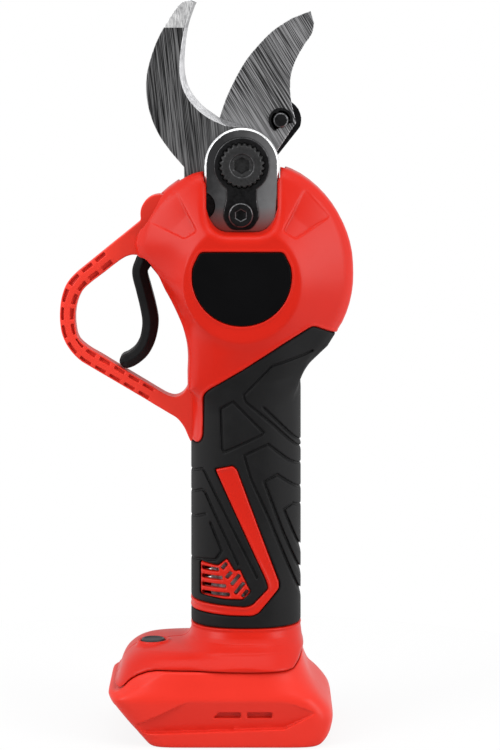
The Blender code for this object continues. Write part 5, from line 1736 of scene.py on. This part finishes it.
@dataclass
class TriggerLever:
    """Curved finger lever with soft edges, on its pin."""

    half: float = 6.8
    thick: float = 3.45
    finger_slope: float = 0.25
    back_slope: float = 0.75

    def build(self) -> bpy.types.Object:
        """Make the lever.

        Returns:
            The piece.
        """
        block = Block((-40.0, -7.6, 156.0), (-12.0, 7.6, 215.0), 0.3)
        line = [(-4.9, -4.4), (-6.4, -9.2), (-4.7, -17), (-3.1, -23.5), (-2, -30), (-2.3, -34.5)]
        line += [(-3.6, -39.4)]
        line += [(-6.2, -43.8), (-10.1, -46.9), (-12, -47.7)]
        curve = spline(from_trigger(line), steps=8)
        near, along, side = block.line(curve)
        share = along / float(along.max())
        lever = near - (self.thick - 0.5 * np.abs(share - 0.55))
        neck = block.outline(from_trigger([(-6.8, -3.6), (-3, -8.4), (2.4, -2.4), (-0.6, 3.2), (-3.2, 0.4)]))
        lever = blend(lever, neck, 1.5)
        lever = blend(lever, block.round_bar(TRIGGER_X, TRIGGER_Z, 3.7), 1.0)
        drop = near * np.where(side < 0, self.back_slope, self.finger_slope)
        form = trim(lever + np.zeros_like(block.y), (np.abs(block.y) - self.half + drop) * 0.9, 0.9)
        arm = block.outline(from_trigger([(0, -2.4), (8.6, -2.4), (8.6, 2.0), (0, 2.0)]))
        form = np.minimum(form, np.maximum(arm, np.abs(block.y) - 3.5))
        form = trim(form, -block.round_bar(TRIGGER_X, TRIGGER_Z, 1.8), 0.4)
        piece = block.skin("trigger_lever", form, 60_000)
        return dress(piece, "trigger", "black_plastic", ["trigger"], PLASTIC)


@dataclass
class Blades:
    """Hooked fixed blade in front, curved moving blade behind it."""

    tip_line: float = 302.9
    tip_drop: float = 1.6
    edge: float = 0.25

    def fixed(self) -> bpy.types.Object:
        """Fixed blade: brushed faces, ground inner bevel and ground tip.

        Returns:
            The piece.
        """
        outer = [(-6.5, 314.5), (-9.7, 313.8), (-13, 310.3), (-17.5, 303.3), (-21.4, 295.3), (-24.7, 284.3)]
        outer += [(-25.2, 276.6), (-23.8, 267.6), (-20.2, 258.6), (-15.1, 251.1), (-9.3, 244.3)]
        inner = [(-4.6, 312.0), (-7.1, 304.8), (-8.6, 295.9), (-9, 286.9), (-7.9, 279.8), (-5.3, 274.7)]
        inner += [(-1.4, 270.2), (5.7, 265)]
        ground = [(-6.0, 311.2), (-8.7, 302.6), (-10.3, 293.3), (-10.8, 283.7), (-9.1, 276.6), (-5.2, 270.5)]
        ground += [(1.0, 265.3), (8.3, 261.9)]
        back_edge = spline(outer, steps=6)
        tail = arc(PIVOT_X - 17.4, PIVOT_Z - 17.1, 7.0, 175, 320, 16)
        hub = arc(PIVOT_X, PIVOT_Z, HUB_R, -120, 85, 36)
        fixed_part = back_edge + tail + hub
        sharp = [(-3.9, 313.5)] + fixed_part + spline(inner, steps=6)[::-1]
        blunt = [(-5.2, 313.6)] + fixed_part + spline(ground, steps=6)[::-1]
        e = self.edge
        rings = [
            level_ring(shrink(blunt, e), FIXED_FRONT),
            level_ring(blunt, FIXED_FRONT + e),
            level_ring(sharp, FIXED_BACK - 1.4),
            level_ring(sharp, FIXED_BACK - 0.2),
            level_ring(shrink(sharp, 0.2), FIXED_BACK),
        ]
        rings = [[(x, y + self._tip(z, y), z) for x, y, z in ring] for ring in rings]
        piece = loft("hook_blade", rings, 18.0)
        bm = bmesh.new()
        bm.from_mesh(piece.data)
        everything = [*bm.verts, *bm.edges, *bm.faces]
        bmesh.ops.bisect_plane(bm, geom=everything, plane_co=(0, 0, self.tip_line * MM), plane_no=(0, 0, 1))
        bm.to_mesh(piece.data)
        bm.free()
        holes = [lathe("hole", PIVOT_X, PIVOT_Z, [(5.3, -9.0), (5.3, -2.0)])]
        holes.append(lathe("hole", PIVOT_X - 17.4, PIVOT_Z - 17.1, [(3.3, -9.0), (3.3, -2.0)]))
        carve(piece, *holes)
        sharpen(piece, 14)
        dress(piece, "body", "blade_steel", ["fixed_blade"], FIXED_STEEL, BEVEL, GROUND, TIP_EDGE)
        paint(piece, 1, lambda m, n: -0.95 < n.y < -0.2 and n.x > 0.15 and m.z > 258.0)
        paint(piece, 2, lambda m, n: n.y < -0.3 and m.z > self.tip_line)
        paint(piece, 3, lambda m, n: n.y < -0.1 and n.x > 0.15 and m.z > self.tip_line)
        return piece

    def _tip(self, z: float, y: float) -> float:
        """How far the front is ground back at this height.

        Args:
            z: Its middle.
            y: Depth in millimetres.

        Returns:
            Millimetres.
        """
        if z <= self.tip_line or y > FIXED_BACK - 1.0:
            return 0.0
        return self.tip_drop * (z - self.tip_line) / 11.6

    def moving(self) -> bpy.types.Object:
        """Moving blade, ground on its rear face.

        Returns:
            The piece.
        """
        spine = [(45.7, 304.9), (44.9, 300.7), (41.3, 295.2), (38.1, 289.4), (36, 283), (35.7, 275.9)]
        spine += [(36.2, 271.4), (36.9, 268.2), (38.2, 262.9)]
        edge = [(5.6, 264.6), (8.3, 272.6), (11.9, 280.4), (16.7, 288.8), (21.9, 295.2)]
        edge += [(28.4, 301.7), (36.2, 306.8)]
        ground = [(7.8, 263.7), (10.6, 271.6), (14.2, 279.2), (18.8, 287.2), (24, 293.4)]
        ground += [(30, 299.2), (37.6, 304.1)]
        hub = arc(PIVOT_X, PIVOT_Z, HUB_R, 20, -220, 44)
        spine_line = spline(spine, steps=6)
        front = [(44.2, 309.9)] + spine_line + hub + spline(edge, steps=6)
        back = [(43.4, 307.5)] + spine_line + hub + spline(ground, steps=6)
        front, back = front[::-1], back[::-1]
        rings = [
            level_ring(shrink(front, 0.2), MOVING_FRONT),
            level_ring(front, MOVING_FRONT + 0.2),
            level_ring(front, MOVING_FRONT + 0.9),
            level_ring(back, MOVING_BACK - 0.2),
            level_ring(shrink(back, 0.2), MOVING_BACK),
        ]
        piece = loft("curved_blade", rings, 18.0)
        holes = [lathe("hole", PIVOT_X, PIVOT_Z, [(7.4, -4.0), (7.4, 2.0)])]
        holes.append(lathe("hole", PIVOT_X + 16.5, PIVOT_Z + 18.7, [(3.3, -4.0), (3.3, 2.0)]))
        carve(piece, *holes)
        sharpen(piece, 14)
        dress(piece, "blade", "blade_steel", ["moving_blade"], MOVING_STEEL, BEVEL)
        paint(piece, 1, lambda m, n: n.y > 0.2 and n.x < -0.2 and m.z > 262.0)
        return piece

    def arm(self) -> bpy.types.Object:
        """Rounded skin of the drive arm behind the moving blade.

        Returns:
            The piece.
        """
        lobe = arc(16.5, 18.7, 8.75, -21, 66, 20)
        corners = [(10.8, 8.2), (15.2, 3.6)] + lobe + [(15, 25.4), (8, 17), (-4, 12.6)]
        outline = rounded(from_pivot(corners), 1.0)
        piece = plate("drive_arm_skin", outline, MOVING_BACK + 0.13, ARM_BACK + 0.05, 0.3)
        carve(piece, lathe("hole", PIVOT_X + 16.5, PIVOT_Z + 18.7, [(3.25, -1.0), (3.25, 7.0)]))
        sharpen(piece, 30)
        return dress(piece, "blade", "black_steel", [], BLACK)

    def pin(self) -> bpy.types.Object:
        """Black drive pin with its groove.

        Returns:
            The piece.
        """
        x, z = PIVOT_X + 16.5, PIVOT_Z + 18.7
        g = MOVING_FRONT - 0.2
        steps = [(0.4, g - 2.0), (1.7, g - 1.95), (2.6, g - 1.8), (3.1, g - 1.35), (3.1, g - 0.8)]
        steps += [(2.5, g - 0.8), (2.5, g), (3.1, g), (3.1, ARM_BACK + 0.2), (4.7, ARM_BACK + 0.2)]
        steps += [(4.7, ARM_BACK + 1.4)]
        steps += [(4.3, ARM_BACK + 1.8)]
        piece = lathe("arm_pin", x, z, steps, 48)
        dress(piece, "blade", "black_steel", ["drive_pin"], BLACK, BRIGHT_RIM_HIGHLIGHT_AND_WEAR)
        # Painted highlight: paler ring on the pin's front end.
        paint(piece, 1, lambda m, n: n.y < -0.4 and math.hypot(m.x - x, m.z - z) > 2.5 and m.y < g - 1.3)
        return piece

    def clip(self) -> bpy.types.Object:
        """E-clip, open at its lower right, with three lugs on the groove.

        Returns:
            The piece.
        """
        x, z = PIVOT_X + 16.5, PIVOT_Z + 18.7
        g = MOVING_FRONT - 0.2
        outer, inner = [], []
        for a in np.linspace(-14.0, 244.0, 61):
            lug = max(0.0, math.cos(math.radians((a - 115.0) * 3.0))) ** 6
            turn = math.radians(a)
            near = 3.75 - 1.05 * lug
            outer.append((x + 5.2 * math.cos(turn), z + 5.2 * math.sin(turn)))
            inner.append((x + near * math.cos(turn), z + near * math.sin(turn)))
        piece = plate("retaining_clip", outer + inner[::-1], g - 0.7, g - 0.1, 0.12)
        dress(piece, "blade", "black_steel", ["e_clip"], BLACK)
        return piece


@dataclass
class PivotStack:
    """Bolt, lock plate, lock screw, bridge and its screw, front to back, and the nut behind."""

    teeth: int = 24
    bolt_r: float = 9.3
    lock_x: float = PIVOT_X - 0.4
    lock_z: float = PIVOT_Z - 20.7
    ear_x: float = PIVOT_X - 17.4
    ear_z: float = PIVOT_Z - 17.1

    def _serrated(self, radius: float, deep: float, y: float) -> Ring:
        """Ring with teeth cut into it.

        Args:
            radius: Radius in millimetres.
            deep: Depth of the teeth.
            y: Depth in millimetres.

        Returns:
            The ring.
        """
        count = self.teeth * 8
        ring = []
        for i in range(count):
            a = 2 * math.pi * i / count
            tooth = 0.5 + 0.5 * math.cos(a * self.teeth)
            r = radius - deep * tooth**1.5
            ring.append((PIVOT_X + r * math.cos(a), y, PIVOT_Z + r * math.sin(a)))
        return ring

    def bolt(self) -> bpy.types.Object:
        """Serrated bolt head with a ring and a hexagon socket, and its shank.

        Returns:
            The piece.
        """
        count = self.teeth * 8
        f = PLATE_FRONT - 1.7

        def flat(radius: float, y: float) -> Ring:
            """Plain ring."""
            return circle(PIVOT_X, PIVOT_Z, radius, y, count)

        rings = [flat(5.0, 23.4), flat(5.0, PLATE_BACK), self._serrated(self.bolt_r, 0.8, PLATE_BACK)]
        rings += [self._serrated(self.bolt_r, 0.8, f + 0.9), self._serrated(self.bolt_r - 0.5, 0.55, f + 0.2)]
        rings += [self._serrated(self.bolt_r - 1.1, 0.25, f), flat(7.4, f - 0.02), flat(5.6, f + 0.02)]
        rings += [flat(5.2, f + 0.1), flat(4.9, f + 0.35), flat(4.6, f + 0.9)]
        rings += [level_ring(hexagon(PIVOT_X, PIVOT_Z, 6.8, count), f + 1.1)]
        rings += [level_ring(hexagon(PIVOT_X, PIVOT_Z, 6.2, count), f + 1.4)]
        rings += [level_ring(hexagon(PIVOT_X, PIVOT_Z, 6.2, count), f + 3.2)]
        piece = loft("pivot_bolt_head", rings, 30.0)
        dress(piece, "body", "black_steel", ["pivot_bolt"], BOLT, RIM_HIGHLIGHT_AND_RUB)
        # Painted highlight: paler ring round the socket's mouth.
        paint(piece, 1, lambda m, n: f + 0.08 < m.y < f + 0.4 and off_pivot(m) < 5.3)
        return piece

    def plate(self) -> bpy.types.Object:
        """Dog-bone plate that stops the bolt from turning.

        Returns:
            The piece.
        """
        block = Block((2.0, -17.0, 216.5), (28.5, -12.6, 258.5), 0.2)
        round_top = block.round_bar(PIVOT_X, PIVOT_Z, 11.8)
        lobe = block.round_bar(self.lock_x, self.lock_z, 7.3)
        neck = block.outline(from_pivot([(-6.6, -21.7), (6.4, -21.7), (6.4, -5), (-6.6, -5)]))
        plan = blend(np.minimum(round_top, neck), lobe, 2.5)
        plan = trim(plan, (PIVOT_Z - 27.2) - block.z, 0.8)
        hole = np.arctan2(block.zs[None, :] - PIVOT_Z, block.xs[:, None] - PIVOT_X)[:, None, :]
        teeth = (0.5 + 0.5 * np.cos(hole * self.teeth)) ** 1.5
        plan = np.maximum(plan, -(block.round_bar(PIVOT_X, PIVOT_Z, self.bolt_r + 0.25) + 0.8 * teeth))
        plan = np.maximum(plan, -block.round_bar(self.lock_x, self.lock_z, 2.9))
        middle = (PLATE_FRONT + PLATE_BACK - 0.3) / 2
        thick = (PLATE_BACK - 0.3 - PLATE_FRONT) / 2
        form = trim(plan, np.abs(block.y - middle) - thick, 0.7)
        piece = block.skin("bolt_lock_plate", form, 60_000)
        dress(piece, "body", "black_steel", ["lock_plate"], BLACK, RIM_HIGHLIGHT_AND_RUB)
        # Painted highlight: paler finish on the plate's rounded outer edge.
        paint(piece, 1, lambda m, n: -0.9 < n.y < -0.4 and off_pivot(m) > 11.2)
        return piece

    def lock_screw(self) -> bpy.types.Object:
        """Cap screw that holds the plate.

        Returns:
            The piece.
        """
        t = PLATE_FRONT - 3.1
        steps = [(2.5, BRIDGE_BACK - 1.9), (2.5, PLATE_FRONT - 0.3), (5.2, PLATE_FRONT - 0.3), (5.2, t + 0.6)]
        steps += [(5.05, t + 0.25), (4.7, t)]
        piece = socket_screw("plate_screw", self.lock_x, self.lock_z, steps, 4.2, t + 2.0)
        dress(piece, "body", "black_steel", ["lock_screw"], BLACK, BRIGHT_RIM_HIGHLIGHT_AND_WEAR)
        # Painted highlight: paler ring on the head's chamfer.
        paint(piece, 1, lambda m, n: -0.97 < n.y < -0.2 and m.y < t + 0.7)
        return piece

    def bridge(self) -> bpy.types.Object:
        """Bright boss over the blades, with its chamfer, tab and ear.

        Returns:
            The piece.
        """
        shells = Shells(BodyForm(), GuardForm())
        block = Block((-10.5, -13.8, 213.6), (32.0, -7.4, 262.0), 0.22)
        y = block.y
        plan = block.outline(shells.bridge(0.0))
        ear = block.round_bar(self.ear_x, self.ear_z, 7.2)
        plan = blend(plan, ear, 1.0)
        front = BRIDGE_FRONT + 0.7 * np.clip((ear < plan) * 1.0, 0, 1)
        form = np.maximum(np.maximum(plan, front - y), y - BRIDGE_BACK)
        form = np.maximum(form, (plan + 0.9 - (y - BRIDGE_FRONT)) * 0.7071)
        form = np.maximum(form, -block.round_bar(PIVOT_X, PIVOT_Z, 5.3))
        form = np.maximum(form, -block.round_bar(self.lock_x, self.lock_z, 2.8))
        sink = block.round_bar(self.ear_x, self.ear_z, 0.0)
        cone = np.clip(6.1 - np.maximum(y - (BRIDGE_FRONT + 1.2), 0.0), 3.3, 6.1)
        form = np.maximum(form, cone - sink)
        piece = block.skin("pivot_bridge", form, 90_000)
        piece.data.set_sharp_from_angle(angle=math.radians(24))
        dress(piece, "body", "bridge_steel", ["front_bridge"], BOSS, CHAMFER)
        paint(piece, 1, lambda m, n: -0.9 < n.y < -0.45 and off_pivot(m) > 14.4)
        return piece

    def ear_screw(self) -> bpy.types.Object:
        """Countersunk screw through the bridge's ear.

        Returns:
            The piece.
        """
        t = BRIDGE_FRONT + 0.8
        steps = [(3.0, 1.5), (3.0, t + 2.9), (5.8, t + 0.3), (5.8, t + 0.15), (5.6, t)]
        piece = socket_screw("ear_screw", self.ear_x, self.ear_z, steps, 4.0, t + 2.0)
        dress(piece, "body", "black_steel", ["bridge_screw"], BLACK, BRIGHT_RIM_HIGHLIGHT_AND_WEAR)
        # Painted highlight: paler ring on the head's chamfer.
        paint(piece, 1, lambda m, n: -0.98 < n.y < -0.2 and m.y < t + 0.4)
        return piece

    def nut(self) -> bpy.types.Object:
        """Hexagon nut with rounded corners behind the frame.

        Returns:
            The piece.
        """
        front, back = FRAME_BACK + 0.3, FRAME_BACK + 5.8
        count = 72

        def flat(radius: float, y: float) -> Ring:
            """Plain ring."""
            return circle(PIVOT_X, PIVOT_Z, radius, y, count)

        def six(most: float, y: float) -> Ring:
            """Hexagon with its corners turned off at a radius.

            Args:
                most: Radius of the corners.
                y: Depth in millimetres.

            Returns:
                The ring.
            """
            ring = []
            for x, z in hexagon(PIVOT_X, PIVOT_Z, 16.0, count):
                far = math.hypot(x - PIVOT_X, z - PIVOT_Z)
                share = min(far, most) / far
                ring.append((PIVOT_X + (x - PIVOT_X) * share, y, PIVOT_Z + (z - PIVOT_Z) * share))
            return ring

        rings = [flat(5.3, front), six(8.3, front), six(9.2, front + 0.5), six(9.2, back - 0.6)]
        rings += [six(8.2, back), flat(6.0, back), flat(5.3, back - 0.6), flat(5.3, front)]
        piece = loft_ring("pivot_lock_nut", rings)
        return dress(piece, "body", "gear_steel", ["pivot_nut"], MACHINED)


def loft_ring(name: str, rings: Sequence[Ring]) -> bpy.types.Object:
    """Closed skin whose last ring is its first.

    Args:
        name: Name of the piece.
        rings: Rings in millimetres, the last equal to the first.

    Returns:
        The piece.
    """
    bm = bmesh.new()
    rows = [[bm.verts.new((x * MM, y * MM, z * MM)) for x, y, z in ring] for ring in rings[:-1]]
    for one, two in zip(rows, rows[1:] + rows[:1]):
        for i in range(len(one)):
            j = (i + 1) % len(one)
            bm.faces.new((one[i], one[j], two[j], two[i]))
    return from_bmesh(name, bm, 30.0)


@dataclass
class SmallParts:
    """Badge, button and the screws that close the shells."""

    shells: Shells

    def badge(self) -> bpy.types.Object:
        """Bare gloss plate with a softly turned edge.

        Returns:
            The piece.
        """
        outline = self.shells.badge()
        piece = plate("head_plate", outline, -HEAD_DEPTH - 0.4, -HEAD_DEPTH + 1.3, 0.3)
        return dress(piece, "body", "badge_gloss", ["head_badge"], BADGE)

    def button(self) -> bpy.types.Object:
        """Round push button with a dished top and a raised rim.

        Returns:
            The piece.
        """
        x, y, top = BUTTON_X, BUTTON_Y, 41.0
        steps = [(2.5, top - 4.8), (2.5, top - 3.8), (5.0, top - 3.8), (5.0, top - 0.5)]
        steps += [(4.85, top - 0.15), (4.5, top), (4.1, top - 0.1), (3.8, top - 0.45)]
        steps += [(2.4, top - 0.62), (0.6, top - 0.66)]
        count = 56
        turns = [2 * math.pi * i / count for i in range(count)]
        rings = [[(x + r * math.cos(a), y + r * math.sin(a), z) for a in turns] for r, z in steps]
        piece = loft("push_button", rings, 34.0)
        return dress(piece, "button", "black_plastic", ["power_button"], BUTTON)

    def screws(self) -> None:
        """Socket screws in the rear wells."""
        for k, (x, z, depth) in enumerate(self.shells.posts(), 1):
            top = depth - 2.2
            steps = [(1.6, -10.5), (1.6, top - 2.5), (3.4, top - 2.5)]
            steps += [(3.4, top - 0.5), (3.25, top - 0.15), (2.9, top)]
            piece = socket_screw(f"shell_screw_{k}", x, z, steps, 2.6, top - 1.7)
            dress(piece, "body", "black_steel", [f"housing_screw_{k}"], BLACK)
        g = self.shells.guard
        steps = [(1.5, -2.6), (1.5, 8.8), (3.2, 8.8), (3.2, 10.7), (3.05, 11.05), (2.7, 11.2)]
        piece = socket_screw("loop_screw", g.eye_x, g.eye_z, steps, 2.6, 9.6)
        dress(piece, "body", "black_steel", ["guard_screw"], BLACK)


@dataclass
class InnerWorks:
    """CAD nodes that stay as they are, each with a finish of its own, four of them with their edges eased."""

    ease: float = 0.00022
    steel: tuple[str, ...] = (
        *("bevel_pinion", "planet_carrier", "planet_gear_1", "planet_gear_2", "planet_gear_3", "ring_gear"),
        *("motor_rotor", "pinion_bearing", "pivot_bush", "trigger_pin", "trigger_spring", "trigger_magnet"),
    )
    eased: tuple[str, ...] = ("sector_gear", "head_frame", "terminal_block", "controller_tray")

    def looks(self) -> dict[str, Finish]:
        """Finish of every carried node, by its name.

        Returns:
            Finish by node name.
        """
        single = {"sector_gear": BLACK, "head_frame": CAST, "controller_tray": BLASTED, "motor_can": DRAWN}
        black = dict.fromkeys(("switch_block", "terminal_block", "motor_end_cap"), PLASTIC)
        green = dict.fromkeys(("controller_board", "sensor_board"), BOARD)
        copper = dict.fromkeys(("motor_stator", "contact_plus", "contact_minus", "contact_data"), COPPER)
        return {**single, **dict.fromkeys(self.steel, MACHINED), **black, **green, **copper}

    def dress(self, nodes: dict[str, bpy.types.Object]) -> None:
        """Finish every carried node.

        Args:
            nodes: The frame's nodes by name.
        """
        for name, look in self.looks().items():
            node = nodes[name]
            node.data.materials.clear()
            node.data.materials.append(look.material())
            weld = node.modifiers.new("weld", "WELD")
            weld.merge_threshold = 1e-6
            flat = node.modifiers.new("flat", "DECIMATE")
            flat.decimate_type = "DISSOLVE"
            flat.angle_limit = math.radians(1.0)
            if name in self.eased:
                bevel = node.modifiers.new("ease", "BEVEL")
                bevel.width = self.ease
                bevel.segments = 2
                bevel.limit_method = "ANGLE"
                bevel.angle_limit = math.radians(38)
            node.data.shade_smooth()
            split = node.modifiers.new("edges", "EDGE_SPLIT")
            split.split_angle = math.radians(34)
            LOG.info("%s: carried over", name)


@dataclass
class Studio:
    """Camera, pale floor and soft lights."""

    eye: tuple[float, float, float] = (0.01864, -1.19106, 0.30093)
    target: tuple[float, float, float] = (0.01864, 0.0, 0.15469)
    lens: float = 133.95
    floor_r: float = 0.24
    ring: float = 1.75

    def camera(self) -> None:
        """Camera at the photo's angle."""
        data = bpy.data.cameras.new("camera")
        data.lens = self.lens
        data.sensor_width = 36.0
        data.sensor_fit = "AUTO"
        data.clip_start, data.clip_end = 0.05, 20.0
        made = bpy.data.objects.new("camera", data)
        made.location = self.eye
        look = Vector(self.target) - Vector(self.eye)
        made.rotation_euler = look.to_track_quat("-Z", "Y").to_euler()
        bpy.context.scene.collection.objects.link(made)
        bpy.context.scene.camera = made

    def floor(self) -> None:
        """Round sheet of pale paper."""
        bm = bmesh.new()
        bmesh.ops.create_circle(bm, cap_ends=True, radius=self.floor_r, segments=96)
        mesh = bpy.data.meshes.new("studio_paper")
        bm.to_mesh(mesh)
        bm.free()
        mesh.materials.append(PaleFloor("studio_paper").material())
        made = bpy.data.objects.new("studio_paper", mesh)
        bpy.context.scene.collection.objects.link(made)

    def dome(self) -> None:
        """White surroundings whose light comes from a broad ring round the camera's axis."""
        sky = Sky("studio")
        seen = sky.node("ShaderNodeLightPath", {}, {}, "Is Camera Ray")
        way = sky.node("ShaderNodeTexCoord", {}, {}, "Generated")
        front = sky.node("ShaderNodeSeparateXYZ", {}, {0: way}, "Y") * -0.5 + 0.5
        high = sky.node("ShaderNodeSeparateXYZ", {}, {0: way}, "Z")
        ring = sky.ramp(front, (0.0, 0.36), (0.35, 0.78), (0.5, 1.0), (0.68, 0.95), (0.84, 0.25))
        lit = ring * (0.95 - high * 0.3) * self.ring
        sky.finish(lit * (1.0 - seen) + seen)

    def lamp(self, name: str, at: Sequence[float], size: Point, power: float) -> None:
        """Soft rectangular lamp aimed at the middle of the object.

        Args:
            name: Its name.
            at: Its place in metres.
            size: Width and height in metres.
            power: Watts.
        """
        data = bpy.data.lights.new(name, "AREA")
        data.shape = "RECTANGLE"
        data.size, data.size_y = size
        data.energy = power
        made = bpy.data.objects.new(name, data)
        made.location = at
        look = Vector((0.0, 0.0, 0.16)) - Vector(at)
        made.rotation_euler = look.to_track_quat("-Z", "Y").to_euler()
        bpy.context.scene.collection.objects.link(made)

    def build(self) -> None:
        """Set up the whole studio."""
        self.camera()
        self.floor()
        self.lamp("key_left", (-0.9, -0.7, 0.75), (0.6, 0.9), 10.0)
        self.lamp("fill_right", (0.95, -0.6, 0.5), (0.5, 0.9), 8.0)
        self.lamp("overhead", (0.0, -0.25, 1.2), (0.9, 0.5), 3.0)
        self.dome()
        scene = bpy.context.scene
        scene.view_settings.view_transform = "Standard"
        scene.view_settings.look = "None"


def main() -> None:
    """Build every sub-assembly in order and note the sizes."""
    logging.basicConfig(level=logging.INFO, format="%(name)s: %(message)s")
    Studio().build()
    form = BodyForm()
    guard = GuardForm()
    shells = Shells(form, guard)
    for half in Half:
        shells.build(half)
        Grip(form).build(half)
    Seat(form).build()
    guard.build()
    TriggerLever().build()
    blades = Blades()
    for make in (blades.fixed, blades.moving, blades.arm, blades.pin, blades.clip):
        make()
    stack = PivotStack()
    for make in (stack.bolt, stack.plate, stack.lock_screw, stack.bridge, stack.ear_screw, stack.nut):
        make()
    small = SmallParts(shells)
    small.badge()
    small.button()
    small.screws()
    InnerWorks().dress(frame["nodes"])


if __name__ == "__main__":
    main()
